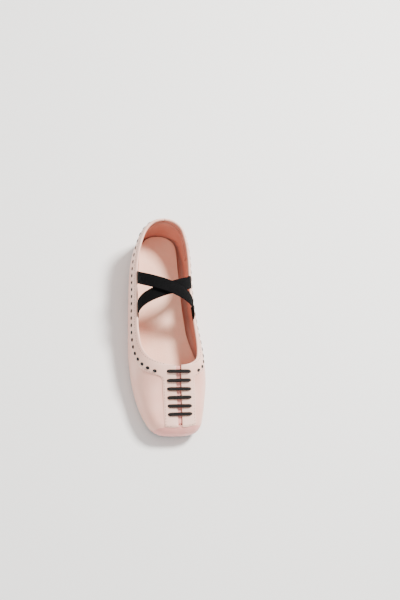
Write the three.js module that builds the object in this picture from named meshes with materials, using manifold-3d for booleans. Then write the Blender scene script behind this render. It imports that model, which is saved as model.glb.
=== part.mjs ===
// A right-foot ballet slipper with a square toe, a laced front slit and two crossed elastic straps.
// Millimetres, +Z up. The sole lies on the ground, the toe points along -Y and the big-toe side is +X.
// Every piece of the upper is a region of one lasted surface, offset inwards or outwards by its layer.

import * as THREE from "three";
import Module from "manifold-3d";

const wasm = await Module();
wasm.setup();

// ---------------------------------------------------------------- driving dimensions

const SHOE_LENGTH = 248;
const BALL_WIDTH = 84; // over the upper's widest line
const HEEL_LIFT_HEIGHT = 4.5; // how far the heel seat stands off the ground
const TOE_SPRING = 4.5; // how far the outsole's tip is raised
const OUTSOLE_THICKNESS = 2.6;
const OUTSOLE_INSET = 2.6; // outsole edge inside the upper's widest line

const TOPLINE_HEEL = 60; // height of the opening's edge at the back seam
const TOPLINE_WAIST = 42; // and at its lowest stretch, beside the arch
const THROAT_HEIGHT = 46.5; // ridge height where the opening ends over the toes
const VAMP_LENGTH = 70; // throat to the front of the toe
const TOE_BOX_HEIGHT = 25; // ridge height at the toe
const TOE_ROUNDING = 9; // radius over the toe's front edge

const FEATHER_TUCK = 3; // how far the upper curls in under its widest line
const WAIST_TUCK = 5; // further tuck where the waist of the sole is narrow
const FEATHER_WALL = 9; // height of the widest line over the feather edge
const LASTING_MARGIN = 4.5; // upper folded flat under the insole board

const UPPER_THICKNESS = 0.8;
const FACING_THICKNESS = 0.7;
const INTERLAYER_THICKNESS = 0.8; // counter, toe puff, strap ends
const LINING_THICKNESS = 0.7;
const GAP = 0.3; // running clearance between layers
const LACE_ROOM = 1.7; // extra depth of the lining under the laces

const FACING_WIDTH = 15;
const EYELETS_PER_SIDE = 24;
const EYELET_PITCH = 8.4;
const EYELET_INSET = 9.6; // eyelet row below the opening's edge
const EYELET_START = 6; // first eyelet from the back seam
const EYELET_POST_RADIUS = 0.8;
const EYELET_FLANGE_RADIUS = 1.7;
const EYELET_FLANGE_HEIGHT = 0.5;
const EYELET_TAPE_WIDTH = 3; // stay tape between upper and facing
const EYELET_TAPE_THICKNESS = 0.35;

const SLIT_HALF_THROAT = 2.6; // half the front slit at the throat
const SLIT_HALF_TOE = 1.5; // and at its toe end
const TIP_SEAM_INSET = 8; // toe tip seam from the front of the toe
const TIP_SEAM_START = 0.885; // where that seam drops to the sole, as a share of the half perimeter

const LACE_BARS = 6;
const LACE_PITCH = 8.8;
const LACE_FIRST = 7.2; // first bar from the throat
const LACE_HALF_SPAN = 11.4; // holes from the centre line
const LACE_RADIUS = 1.15;
const LACE_HOLE_RADIUS = 2.35;
const LACE_REST = 0.65; // bars over the facing
const LACE_TAIL = 5; // tucked ends of the lace

const BOARD_THICKNESS = 1.8;
const FILLER_THICKNESS = 1.1;
const SHANK_THICKNESS = 1;
const SHANK_WIDTH = 12;
const SHANK_FROM = 32; // from the back of the heel
const SHANK_TO = 140;
const CUSHION_THICKNESS = 3.2;
const CUSHION_TO = 132;
const CUSHION_FADE = 26; // the cushion's bevelled front
const SOCK_THICKNESS = 0.9;
const BED_INSET = 5.4; // insole layers inside the widest line
const HEEL_LIFT_TO = 56; // heel breast from the back
const LIFT_INSET = 4.5;

const COUNTER_COLUMNS = 8; // columns of the upper that the counter covers from the back seam
const COUNTER_ROWS = 3;
const COUNTER_FROM = 1 / 3; // share of the wall's height
const COUNTER_TO = 5 / 6;
const GRIP_COLUMNS = 5;
const GRIP_THICKNESS = 0.6;
const PUFF_DROP = 0.02; // puff's top edge under the toe tip panel's, as a share of the surface line
const TONGUE_HALF_WIDTH = 6.8;
const TONGUE_THICKNESS = 0.8;

const STRAP_WIDTH = 13.5;
const STRAP_THICKNESS = 0.8;
const STRAP_RISE = 22; // arch over the line that joins its two ends
const STRAP_INSERT = 5; // sewn end below the opening's edge
const STRAP_STAND = 0.3; // sewn end above the edge
const STRAP_FREE_GAP = 0.85; // between the sewn end and the free span
const STRAP_CROSS_GAP = 2.6; // between the two straps where they cross
const STRAP_REAR_AT = 77; // lower strap's ends from the back of the heel
const STRAP_FRONT_AT = 113;
const STRAP_STAGGER = 5; // upper strap's rear end behind the lower one's
const STRAP_BOW = 3.5; // how far the arch swells out past the opening's edge

// ---------------------------------------------------------------- plan outline and heights

const LATERAL = -1;
const MEDIAL = 1;
const BASE_LENGTH = 248; // the shape tables below are drawn at this size
const BASE_WIDTH = 84;
const TOE_CENTRE_X = 4.5;
const WAIST_ROUNDING = 7; // extra rounding of the walls at the ball

const OUTLINE = [
  [0, 0], [-14, 3.2], [-24.6, 13], [-32, 31], [-37, 56], [-40, 86], [-42.4, 120], [-44, 150],
  [-43.6, 172], [-41.6, 193], [-37.5, 213], [-32, 229], [-26, 240], [-17, 246.4], [-6, 248],
  [TOE_CENTRE_X, 248.2],
  [14, 247.8], [23.5, 245], [29.6, 238], [33.3, 226], [37.2, 208], [40.2, 188], [40.7, 170],
  [37.8, 148], [33.4, 122], [31, 98], [30.6, 72], [30.6, 48], [28.6, 28], [23.6, 12], [13.4, 3],
];
const TOE_INDEX = 15;

const lengthScale = SHOE_LENGTH / BASE_LENGTH;
const widthScale = BALL_WIDTH / BASE_WIDTH;

const clamp01 = (t) => Math.min(1, Math.max(0, t));
const smooth = (t) => clamp01(t) ** 2 * (3 - 2 * clamp01(t));
const mix = (a, b, t) => a + (b - a) * t;
const spread = (from, to, count) => Array.from({ length: count + 1 }, (_, i) => mix(from, to, i / count));

// A smooth curve through [along, height] pairs, read by its first coordinate.
function heightCurve(pairs) {
  const curve = new THREE.SplineCurve(pairs.map(([a, h]) => new THREE.Vector2(a, h)));
  const samples = curve.getPoints(240);
  return (along) => {
    if (along <= samples[0].x) return samples[0].y;
    const next = samples.findIndex((p) => p.x > along);
    if (next < 0) return samples[samples.length - 1].y;
    const a = samples[next - 1];
    const b = samples[next];
    return mix(a.y, b.y, (along - a.x) / (b.x - a.x));
  };
}

const throatAt = SHOE_LENGTH - VAMP_LENGTH;
const centreX = (along) => TOE_CENTRE_X * widthScale * smooth((along / SHOE_LENGTH - 0.2) / 0.7);

const ridgeHeight = heightCurve([
  [0, TOPLINE_HEEL + 15],
  [throatAt - 130, TOPLINE_HEEL + 5],
  [throatAt - 85, TOPLINE_WAIST + 13],
  [throatAt - 45, TOPLINE_WAIST + 9.5],
  [throatAt - 20, THROAT_HEIGHT + 2.5],
  [throatAt, THROAT_HEIGHT],
  [mix(throatAt, SHOE_LENGTH, 0.3), mix(THROAT_HEIGHT, TOE_BOX_HEIGHT, 0.44)],
  [mix(throatAt, SHOE_LENGTH, 0.65), mix(THROAT_HEIGHT, TOE_BOX_HEIGHT, 0.76)],
  [SHOE_LENGTH, TOE_BOX_HEIGHT],
]);

// Underside of the outsole: level heel seat, a smooth drop through the waist, flat forepart, raised tip.
function soleHeight(along) {
  const heel = HEEL_LIFT_HEIGHT * (1 - smooth((along / SHOE_LENGTH - 0.26) / 0.34));
  const tip = TOE_SPRING * clamp01((along / SHOE_LENGTH - 0.8) / 0.2) ** 2;
  return heel + tip;
}

const featherHeight = (along) => soleHeight(along) + OUTSOLE_THICKNESS + GAP;

// Half outlines from the heel's centre to the toe's centre, at equal steps of length.
const OUTLINE_STEPS = 240;

function halfOutline(side) {
  const points = OUTLINE.map(([x, along]) => new THREE.Vector3(x * widthScale, along * lengthScale, 0));
  const curve = new THREE.CatmullRomCurve3(points, true, "centripetal");
  const toe = TOE_INDEX / OUTLINE.length;
  const dense = [];
  for (let i = 0; i <= 1200; i++) {
    const t = i / 1200;
    dense.push(curve.getPoint(side === LATERAL ? t * toe : 1 - t * (1 - toe)));
  }
  const run = [0];
  dense.slice(1).forEach((p, i) => run.push(run[i] + p.distanceTo(dense[i])));
  const total = run[run.length - 1];
  const even = [];
  let k = 0;
  for (let i = 0; i <= OUTLINE_STEPS; i++) {
    const goal = (total * i) / OUTLINE_STEPS;
    while (k < run.length - 2 && run[k + 1] < goal) k++;
    even.push(dense[k].clone().lerp(dense[k + 1], (goal - run[k]) / (run[k + 1] - run[k])));
  }
  return { points: even, total };
}

const outlines = { [LATERAL]: halfOutline(LATERAL), [MEDIAL]: halfOutline(MEDIAL) };
const wholeOutline = [...outlines[LATERAL].points, ...outlines[MEDIAL].points.slice().reverse()];

function outlineAt(side, u) {
  const pts = outlines[side].points;
  const f = clamp01(u) * OUTLINE_STEPS;
  const i = Math.min(OUTLINE_STEPS - 1, Math.floor(f));
  return pts[i].clone().lerp(pts[i + 1], f - i);
}

// Inward normal of the outline in plan.
function inwardAt(side, u) {
  if (u <= 0) return new THREE.Vector3(0, 1, 0);
  if (u >= 1) return new THREE.Vector3(0, -1, 0);
  const step = 1.5 / OUTLINE_STEPS;
  const t = outlineAt(side, u + step).sub(outlineAt(side, u - step)).normalize();
  return side === LATERAL ? new THREE.Vector3(t.y, -t.x, 0) : new THREE.Vector3(-t.y, t.x, 0);
}

// How far the sole's edge draws in at the heel and waist, where the upper bulges over it.
const waistTuck = (along) => WAIST_TUCK * smooth(along / 50) * (1 - smooth((along - 120) / 55));

function insetPoint(side, u, inset) {
  const edge = outlineAt(side, u);
  const share = clamp01(inset / FEATHER_TUCK);
  return edge.addScaledVector(inwardAt(side, u), inset + share * waistTuck(edge.y / lengthScale));
}

function distanceToOutline(x, along) {
  let best = Infinity;
  for (let i = 0; i < wholeOutline.length; i++) {
    const a = wholeOutline[i];
    const b = wholeOutline[(i + 1) % wholeOutline.length];
    const dx = b.x - a.x;
    const dy = b.y - a.y;
    const span = dx * dx + dy * dy;
    const t = span ? clamp01(((x - a.x) * dx + (along - a.y) * dy) / span) : 0;
    best = Math.min(best, (x - a.x - dx * t) ** 2 + (along - a.y - dy * t) ** 2);
  }
  return Math.sqrt(best);
}

// ---------------------------------------------------------------- the lasted surface

// Over the widest line the surface rises as a superellipse of the distance inside the outline,
// from upright walls at the edge to the ridge height on the centre line.
const roundingAt = (along) => mix(29 * widthScale, TOE_ROUNDING, smooth((along / SHOE_LENGTH - 0.62) / 0.34))
  + WAIST_ROUNDING * widthScale * smooth((along / SHOE_LENGTH - 0.35) / 0.25)
  * (1 - smooth((along / SHOE_LENGTH - 0.7) / 0.26));
const powerAt = (along) => mix(2.9, 2.05, smooth((along / SHOE_LENGTH - 0.42) / 0.28));

function surfaceHeight(x, along) {
  const foot = featherHeight(along) + FEATHER_WALL;
  const t = Math.min(1, distanceToOutline(x, along) / roundingAt(along));
  const power = powerAt(along);
  return foot + (ridgeHeight(along) - foot) * (1 - (1 - t) ** power) ** (1 / power);
}

const TABLE_U = 110;
const TABLE_V = 44;
const RIDGE_BACK = 38;
const RIDGE_FRONT_INSET = 9.5;

// One line of the surface, from the feather edge under the outline up to the ridge.
function profileLine(side, u) {
  const edge = outlineAt(side, u);
  const inward = inwardAt(side, u);
  const tuck = FEATHER_TUCK + waistTuck(edge.y / lengthScale);
  const line = [];
  for (let k = 0; k <= 8; k++) {
    const turn = (k / 8) * (Math.PI / 2);
    const p = edge.clone().addScaledVector(inward, tuck * (1 - Math.sin(turn)));
    line.push(new THREE.Vector3(p.x, p.y, featherHeight(p.y) + FEATHER_WALL * (1 - Math.cos(turn))));
  }
  const share = edge.y / SHOE_LENGTH;
  const ridgeAlong = mix(RIDGE_BACK, SHOE_LENGTH - RIDGE_FRONT_INSET, share);
  const ridge = new THREE.Vector3(centreX(ridgeAlong), ridgeAlong, 0);
  const reach = edge.distanceTo(ridge);
  const plan = new THREE.CubicBezierCurve3(
    edge,
    edge.clone().add(inward.multiplyScalar(Math.min(14, 0.4 * reach))),
    ridge.clone().lerp(edge, 0.3),
    ridge,
  );
  const length = plan.getLength();
  const rounding = Math.min(roundingAt(edge.y), length);
  const power = powerAt(edge.y);
  const steps = [];
  for (let k = 1; k <= 30; k++) {
    const turn = (k / 30) * (Math.PI / 2);
    steps.push(rounding * (1 - Math.cos(turn) ** (2 / power)));
  }
  for (let k = 1; k <= 10 && length > rounding; k++) steps.push(mix(rounding, length, k / 10));
  steps.forEach((s) => {
    const p = plan.getPointAt(clamp01(s / length));
    line.push(new THREE.Vector3(p.x, p.y, surfaceHeight(p.x, p.y)));
  });
  return line;
}

// The line resampled at equal steps of its own length.
function evenly(line, count) {
  const run = [0];
  line.slice(1).forEach((p, i) => run.push(run[i] + p.distanceTo(line[i])));
  const total = run[run.length - 1];
  const out = [];
  let k = 0;
  for (let i = 0; i <= count; i++) {
    const goal = (total * i) / count;
    while (k < run.length - 2 && run[k + 1] < goal) k++;
    const span = run[k + 1] - run[k];
    out.push(line[k].clone().lerp(line[k + 1], span ? (goal - run[k]) / span : 0));
  }
  return out;
}

function surfaceTable(side) {
  const rows = [];
  for (let i = 0; i <= TABLE_U; i++) rows.push(evenly(profileLine(side, i / TABLE_U), TABLE_V));
  const normals = rows.map((row, i) => row.map((_, j) => {
    const du = rows[Math.min(TABLE_U, i + 1)][j].clone().sub(rows[Math.max(0, i - 1)][j]);
    const dv = row[Math.min(TABLE_V, j + 1)].clone().sub(row[Math.max(0, j - 1)]);
    if (i === 0 || i === TABLE_U) du.set(i === 0 ? side : -side, 0, 0);
    const n = du.cross(dv).multiplyScalar(side);
    return n.lengthSq() > 1e-12 ? n.normalize() : new THREE.Vector3(0, 0, 1);
  }));
  return { rows, normals };
}

const tables = { [LATERAL]: surfaceTable(LATERAL), [MEDIAL]: surfaceTable(MEDIAL) };

function readTable(grid, u, v) {
  const fu = clamp01(u) * TABLE_U;
  const fv = clamp01(v) * TABLE_V;
  const i = Math.min(TABLE_U - 1, Math.floor(fu));
  const j = Math.min(TABLE_V - 1, Math.floor(fv));
  const low = grid[i][j].clone().lerp(grid[i + 1][j], fu - i);
  const high = grid[i][j + 1].clone().lerp(grid[i + 1][j + 1], fu - i);
  return low.lerp(high, fv - j);
}

const surfacePoint = (side, u, v) => readTable(tables[side].rows, u, v);
const surfaceNormal = (side, u, v) => readTable(tables[side].normals, u, v).normalize();

// A point of the layer that lies depth inside the surface; v below 0 is the lasting margin.
function layerPoint(side, u, v, depth) {
  if (v >= 0) return surfacePoint(side, u, v).addScaledVector(surfaceNormal(side, u, v), -depth);
  const p = insetPoint(side, u, FEATHER_TUCK - v * LASTING_MARGIN);
  return new THREE.Vector3(p.x, p.y, featherHeight(p.y) + depth);
}

// The surface coordinates of the point nearest to p.
function project(side, p) {
  const { rows } = tables[side];
  let best = Infinity;
  let at = [0, 0];
  rows.forEach((row, i) => row.forEach((q, j) => {
    const d = q.distanceToSquared(p);
    if (d < best) {
      best = d;
      at = [i / TABLE_U, j / TABLE_V];
    }
  }));
  let [u, v] = at;
  const step = 1e-3;
  for (let k = 0; k < 12; k++) {
    const here = surfacePoint(side, u, v);
    const [uLow, uHigh] = [clamp01(u - step), clamp01(u + step)];
    const [vLow, vHigh] = [clamp01(v - step), clamp01(v + step)];
    const du = surfacePoint(side, uHigh, v).sub(surfacePoint(side, uLow, v)).divideScalar(uHigh - uLow);
    const dv = surfacePoint(side, u, vHigh).sub(surfacePoint(side, u, vLow)).divideScalar(vHigh - vLow);
    const r = p.clone().sub(here);
    const a = du.dot(du);
    const b = du.dot(dv);
    const c = dv.dot(dv);
    const det = a * c - b * b;
    if (Math.abs(det) < 1e-9) break;
    u = clamp01(u + 0.7 * ((c * r.dot(du) - b * r.dot(dv)) / det));
    v = clamp01(v + 0.7 * ((a * r.dot(dv) - b * r.dot(du)) / det));
  }
  return new THREE.Vector2(u, v);
}

// ---------------------------------------------------------------- the opening's edge and the front slit

const EDGE_STEPS = 48;

// [x, from the heel, height] at the base size, between the back seam and the throat.
const TOPLINE = {
  [LATERAL]: [
    [-11.5, 9, TOPLINE_HEEL - 1], [-21.5, 25, mix(TOPLINE_HEEL, TOPLINE_WAIST, 0.36)],
    [-28.5, 52, mix(TOPLINE_HEEL, TOPLINE_WAIST, 0.7)],
    [-31, 88, TOPLINE_WAIST + 1], [-33.5, 118, TOPLINE_WAIST - 2],
    [-34.5, 138, TOPLINE_WAIST - 3.5], [-31.5, 155, TOPLINE_WAIST - 4], [-24, 168.5, TOPLINE_WAIST - 1],
    [-11.5, 176, THROAT_HEIGHT - 1.5],
  ],
  [MEDIAL]: [
    [11.5, 9, TOPLINE_HEEL - 1], [20.5, 25, mix(TOPLINE_HEEL, TOPLINE_WAIST, 0.34)],
    [26.5, 52, mix(TOPLINE_HEEL, TOPLINE_WAIST, 0.64)],
    [28, 88, TOPLINE_WAIST + 2.5], [30, 118, TOPLINE_WAIST],
    [31.3, 140, TOPLINE_WAIST - 1.5], [31, 156, TOPLINE_WAIST - 2], [26.5, 168.5, TOPLINE_WAIST - 0.5],
    [16.5, 176, THROAT_HEIGHT - 1.5],
  ],
};
const BASE_THROAT = 178; // where these tables end

function toplinePoints(side) {
  const throat = throatAt / lengthScale;
  const stretch = (along) => mix(1, throat / BASE_THROAT, Math.max(0, (along - 100) / (BASE_THROAT - 100)));
  const middle = TOPLINE[side].map(([x, along, z]) => new THREE.Vector3(
    x * widthScale,
    along * lengthScale * stretch(along),
    z,
  ));
  const back = new THREE.Vector3(0, 5.5, TOPLINE_HEEL);
  const front = new THREE.Vector3(centreX(throatAt), throatAt, THROAT_HEIGHT);
  const curve = new THREE.CatmullRomCurve3(
    [mirrored(middle[0]), back, ...middle, front, mirrored(middle[middle.length - 1], centreX(throatAt))],
    false,
    "centripetal",
  );
  const spans = middle.length + 3;
  const points = [];
  for (let i = 0; i <= EDGE_STEPS; i++) {
    points.push(curve.getPoint((1 + ((spans - 2) * i) / EDGE_STEPS) / spans));
  }
  return points;
}

const mirrored = (p, axis = 0) => new THREE.Vector3(2 * axis - p.x, p.y, p.z);

const slitEndAt = SHOE_LENGTH - TIP_SEAM_INSET;
const shareOfSlit = (along) => clamp01((along - throatAt) / (slitEndAt - throatAt));
const slitHalf = (along) => mix(SLIT_HALF_THROAT, SLIT_HALF_TOE, shareOfSlit(along));

function ridgePoint(side, along, offset) {
  const x = centreX(along) + side * offset;
  return new THREE.Vector3(x, along, surfaceHeight(x, along));
}

// Surface coordinates along the opening's edge, back seam to the slit's corner.
function edgeOf(side) {
  const half = slitHalf(throatAt);
  return evenly(toplinePoints(side), EDGE_STEPS).map((p, i) => {
    if (i === EDGE_STEPS) return project(side, ridgePoint(side, throatAt, half));
    const uv = project(side, p);
    if (i === 0) uv.x = 0;
    return uv;
  });
}

const edges = { [LATERAL]: edgeOf(LATERAL), [MEDIAL]: edgeOf(MEDIAL) };

// ---------------------------------------------------------------- solids from grids

// A closed solid between two grids of points, with walls round their borders.
function solidBetween(top, bottom) {
  const rows = top.length;
  const columns = top[0].length;
  const keys = new Map();
  const positions = [];
  const index = (p) => {
    const key = `${p.x.toFixed(3)},${p.y.toFixed(3)},${p.z.toFixed(3)}`;
    if (!keys.has(key)) {
      keys.set(key, positions.length / 3);
      positions.push(p.x, p.y, p.z);
    }
    return keys.get(key);
  };
  const faces = [];
  const face = (a, b, c) => {
    const t = [index(a), index(b), index(c)];
    if (t[0] !== t[1] && t[1] !== t[2] && t[2] !== t[0]) faces.push(...t);
  };
  const quad = (a, b, c, d) => {
    face(a, b, c);
    face(a, c, d);
  };
  for (let i = 0; i < rows - 1; i++) {
    for (let j = 0; j < columns - 1; j++) {
      quad(top[i][j], top[i + 1][j], top[i + 1][j + 1], top[i][j + 1]);
      quad(bottom[i][j], bottom[i][j + 1], bottom[i + 1][j + 1], bottom[i + 1][j]);
    }
  }
  for (let i = 0; i < rows - 1; i++) {
    quad(top[i][0], bottom[i][0], bottom[i + 1][0], top[i + 1][0]);
    const j = columns - 1;
    quad(top[i + 1][j], bottom[i + 1][j], bottom[i][j], top[i][j]);
  }
  for (let j = 0; j < columns - 1; j++) {
    quad(top[0][j + 1], bottom[0][j + 1], bottom[0][j], top[0][j]);
    const i = rows - 1;
    quad(top[i][j], bottom[i][j], bottom[i][j + 1], top[i][j + 1]);
  }
  const geometry = new THREE.BufferGeometry();
  geometry.setAttribute("position", new THREE.Float32BufferAttribute(positions, 3));
  geometry.setIndex(faces);
  return facingOut(geometry);
}

function facingOut(geometry) {
  const p = geometry.attributes.position;
  const order = geometry.index.array;
  const [a, b, c] = [new THREE.Vector3(), new THREE.Vector3(), new THREE.Vector3()];
  let volume = 0;
  for (let i = 0; i < order.length; i += 3) {
    a.fromBufferAttribute(p, order[i]);
    b.fromBufferAttribute(p, order[i + 1]);
    c.fromBufferAttribute(p, order[i + 2]);
    volume += a.dot(b.cross(c));
  }
  if (volume < 0) {
    for (let i = 0; i < order.length; i += 3) [order[i + 1], order[i + 2]] = [order[i + 2], order[i + 1]];
  }
  return geometry;
}

const toManifold = (geometry) => new wasm.Manifold(new wasm.Mesh({
  numProp: 3,
  vertProperties: new Float32Array(geometry.attributes.position.array),
  triVerts: new Uint32Array(geometry.index.array),
}));

function toGeometry(manifold) {
  const mesh = manifold.getMesh();
  const geometry = new THREE.BufferGeometry();
  const positions = [];
  for (let i = 0; i < mesh.numVert; i++) {
    positions.push(...mesh.vertProperties.subarray(i * mesh.numProp, i * mesh.numProp + 3));
  }
  geometry.setAttribute("position", new THREE.Float32BufferAttribute(positions, 3));
  geometry.setIndex([...mesh.triVerts]);
  return geometry;
}

// A closed prism of n sides about a point, along a direction, from one level to another; radii may differ.
function post(centre, axis, sides, levels) {
  const spin = new THREE.Quaternion().setFromUnitVectors(new THREE.Vector3(0, 0, 1), axis);
  const profile = [[0, levels[0][1]], ...levels, [0, levels[levels.length - 1][1]]];
  const lathe = new THREE.LatheGeometry(profile.map(([r, h]) => new THREE.Vector2(r, h)), sides);
  lathe.rotateX(Math.PI / 2);
  const grid = lathe.applyQuaternion(spin).translate(centre.x, centre.y, centre.z);
  return facingOut(welded(grid));
}

function welded(geometry) {
  const p = geometry.attributes.position;
  const keys = new Map();
  const positions = [];
  const remap = [];
  for (let i = 0; i < p.count; i++) {
    const key = [p.getX(i), p.getY(i), p.getZ(i)].map((n) => n.toFixed(4)).join();
    if (!keys.has(key)) {
      keys.set(key, positions.length / 3);
      positions.push(p.getX(i), p.getY(i), p.getZ(i));
    }
    remap.push(keys.get(key));
  }
  const faces = [];
  const order = geometry.index.array;
  for (let i = 0; i < order.length; i += 3) {
    const t = [remap[order[i]], remap[order[i + 1]], remap[order[i + 2]]];
    if (t[0] !== t[1] && t[1] !== t[2] && t[2] !== t[0]) faces.push(...t);
  }
  const out = new THREE.BufferGeometry();
  out.setAttribute("position", new THREE.Float32BufferAttribute(positions, 3));
  out.setIndex(faces);
  return out;
}

// A shell between two depths over columns of surface coordinates, each listed from low to high;
// a lasted shell also folds in under the board where a column starts at the feather edge.
function shell(columns, outer, inner, lasted = false) {
  const grid = (depth) => columns.map(({ side, line }, i) => {
    const points = line.map(({ x, y }, row) => {
      const here = typeof depth === "function" ? depth(surfacePoint(side, x, y), row, i) : depth;
      return layerPoint(side, x, y, here);
    });
    if (lasted) points.unshift(line[0].y === 0 ? layerPoint(side, line[0].x, -1, depth) : points[0].clone());
    return points.map((p) => keepClear(p, side, columns));
  });
  return solidBetween(grid(outer), grid(inner));
}

// A piece that belongs to one side stops half a gap short of the centre line.
function keepClear(p, side, columns) {
  const limit = centreX(p.y) + (side * GAP) / 2;
  const isOneSided = columns.every((column) => column.side === side);
  if (isOneSided && side * (p.x - limit) < 0) p.x = limit;
  return p;
}

// ---------------------------------------------------------------- columns of the upper

const SIDES = [LATERAL, MEDIAL];
const sideName = { [LATERAL]: "lateral", [MEDIAL]: "medial" };
const TOPLINE_COLUMNS = 24;
const SLIT_COLUMNS = 5; // between the throat and the line that starts the toe tip seam
const TIP_COLUMNS = 9;
const UPPER_ROWS = 6;
const LINING_ROWS = 10;
const TIP_GAP = 0.7; // clearance along the toe tip seam
const tipSteps = spread(0, 1, TIP_COLUMNS).map((t) => t ** 1.5);
const ridgeEndAt = SHOE_LENGTH - RIDGE_FRONT_INSET;
const shareAlongRidge = (along) => (along - RIDGE_BACK) / (ridgeEndAt - RIDGE_BACK);

// The toe tip seam: up from the sole at each corner of the toe, then across the top.
function tipSeam(side, t, shift = 0) {
  const u = mix(TIP_SEAM_START, 1, t);
  const p = insetPoint(side, u, TIP_SEAM_INSET);
  const top = project(side, new THREE.Vector3(p.x, p.y, surfaceHeight(p.x, p.y))).y;
  const run = outlines[side].total;
  const rise = top * Math.sin((Math.PI / 2) * clamp01(t / 0.5));
  return new THREE.Vector2(Math.min(1, u + shift / run), Math.max(0, rise - shift / SEAM_PROFILE));
}

const SEAM_PROFILE = 40; // nominal length of a surface line near the toe

function slitPoint(side, along) {
  return project(side, ridgePoint(side, along, slitHalf(along)));
}

// Opening's edge and slit's edge, then the matching points on the sole and on the toe tip seam.
function upperColumns(side) {
  const high = spread(0, EDGE_STEPS, TOPLINE_COLUMNS).map((i) => edges[side][i]);
  const turnAt = mix(RIDGE_BACK, ridgeEndAt, outlineAt(side, TIP_SEAM_START).y / SHOE_LENGTH);
  spread(throatAt, turnAt, SLIT_COLUMNS).slice(1).forEach((along) => high.push(slitPoint(side, along)));
  tipSteps.slice(1).forEach((t) => high.push(slitPoint(side, mix(turnAt, slitEndAt, t))));
  const turn = TOPLINE_COLUMNS + SLIT_COLUMNS;
  let feet = high.slice(0, turn + 1).map((uv) => uv.x);
  feet[turn] = TIP_SEAM_START;
  for (let k = 0; k < 40; k++) {
    feet = feet.map((u, i) => (i === 0 || i === turn ? u : (feet[i - 1] + 2 * u + feet[i + 1]) / 4));
  }
  return high.map((uv, i) => ({
    side,
    low: i <= turn ? new THREE.Vector2(feet[i], 0) : tipSeam(side, tipSteps[i - turn]),
    high: uv,
  }));
}

const columnsOf = { [LATERAL]: upperColumns(LATERAL), [MEDIAL]: upperColumns(MEDIAL) };

// The coordinates on a column at a distance below its top, measured over the surface.
function belowTop({ side, low, high }, distance) {
  let last = surfacePoint(side, high.x, high.y);
  let left = distance;
  for (let k = 1; k <= 60; k++) {
    const at = high.clone().lerp(low, k / 60);
    const p = surfacePoint(side, at.x, at.y);
    const step = p.distanceTo(last);
    if (step >= left) return high.clone().lerp(low, (k - 1 + left / step) / 60);
    left -= step;
    last = p;
  }
  return low.clone();
}

// Columns of surface coordinates: in even rows between two ends, or at distances below the top.
const evenRows = (side, low, high, rows) => ({
  side,
  line: spread(0, 1, rows).map((t) => low.clone().lerp(high, t)),
});
const clampedRows = (side, u, from, to) => ({
  side,
  line: spread(0, 1, LINING_ROWS).map((v) => new THREE.Vector2(u, Math.min(to, Math.max(from, v)))),
});
const rowsBelow = (column, distances) => ({
  side: column.side,
  line: distances.map((distance) => belowTop(column, distance)),
});
const acrossHeel = (count, pick) => [
  ...columnsOf[LATERAL].slice(0, count + 1).map((column, i) => pick(column, i)).reverse(),
  ...columnsOf[MEDIAL].slice(1, count + 1).map((column, i) => pick(column, i + 1)),
];
const acrossToe = (pick) => [
  ...tipSteps.map((t) => pick(LATERAL, t)),
  ...tipSteps.slice(0, -1).reverse().map((t) => pick(MEDIAL, t)),
];

// ---------------------------------------------------------------- materials and the group

const group = new THREE.Group();

const finish = (color, roughness, metalness = 0) => (
  new THREE.MeshStandardMaterial({ color, roughness, metalness }));
const MATERIALS = {
  satin: finish(0xecd3ca, 0.45),
  satinFacing: finish(0xf0dcd4, 0.45),
  lining: finish(0xd99a84, 0.6),
  sock: finish(0xedd2c2, 0.6),
  elastic: finish(0x14161a, 0.85),
  lace: finish(0x17130f, 0.5),
  eyelet: finish(0x121214, 0.35, 0.6),
  rubber: finish(0x1c1a1a, 0.7),
  board: finish(0xb49a78, 0.9),
  steel: finish(0xa8aaad, 0.4, 1),
  foam: finish(0xf2ead8, 0.95),
  stiffener: finish(0xd8cdbd, 0.9),
};

// Pieces are shaped in (x, distance from the heel, height); the toe is then turned to -Y.
function addPart(name, geometry, material) {
  const position = geometry.attributes.position;
  for (let i = 0; i < position.count; i++) position.setY(i, SHOE_LENGTH / 2 - position.getY(i));
  const mesh = new THREE.Mesh(facingOut(geometry), material);
  mesh.name = name;
  group.add(mesh);
}

// ---------------------------------------------------------------- eyelets and lace holes

const UPPER_INNER = UPPER_THICKNESS;
const FACING_OUTER = -(GAP + FACING_THICKNESS);
const TAPE_SEAT = 0.35; // stay tape over the upper
const TAPE_ROOM = EYELET_TAPE_THICKNESS + TAPE_SEAT; // the facing swells over the stay tape
const INTER_OUTER = UPPER_THICKNESS + GAP;
const INTER_INNER = INTER_OUTER + INTERLAYER_THICKNESS;
const LINING_OUTER = INTER_INNER + GAP;
const TAPE_COLUMNS = TOPLINE_COLUMNS;
const POST_SIDES = 6;
const HOLE_SIDES = 4;

// Points on the eyelet line at equal pitch from the back seam.
function eyeletSites(side) {
  const line = columnsOf[side].slice(0, TOPLINE_COLUMNS + 1).map((column) => belowTop(column, EYELET_INSET));
  const points = line.map((uv) => surfacePoint(side, uv.x, uv.y));
  const sites = [];
  let run = 0;
  let goal = EYELET_START;
  for (let i = 0; i < points.length - 1; i++) {
    const step = points[i].distanceTo(points[i + 1]);
    while (goal <= run + step && sites.length < EYELETS_PER_SIDE) {
      const t = (goal - run) / step;
      const uv = line[i].clone().lerp(line[i + 1], t);
      sites.push({ p: points[i].clone().lerp(points[i + 1], t), n: surfaceNormal(side, uv.x, uv.y) });
      goal += EYELET_PITCH;
    }
    run += step;
  }
  return sites;
}

const eyelets = { [LATERAL]: eyeletSites(LATERAL), [MEDIAL]: eyeletSites(MEDIAL) };

function eyeletHoles(side) {
  const radius = (EYELET_POST_RADIUS + GAP) / Math.cos(Math.PI / HOLE_SIDES);
  return eyelets[side]
    .map(({ p, n }) => toManifold(post(p, n, HOLE_SIDES, [[radius, -1], [radius, 3]])))
    .reduce((all, hole) => all.add(hole));
}

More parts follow.
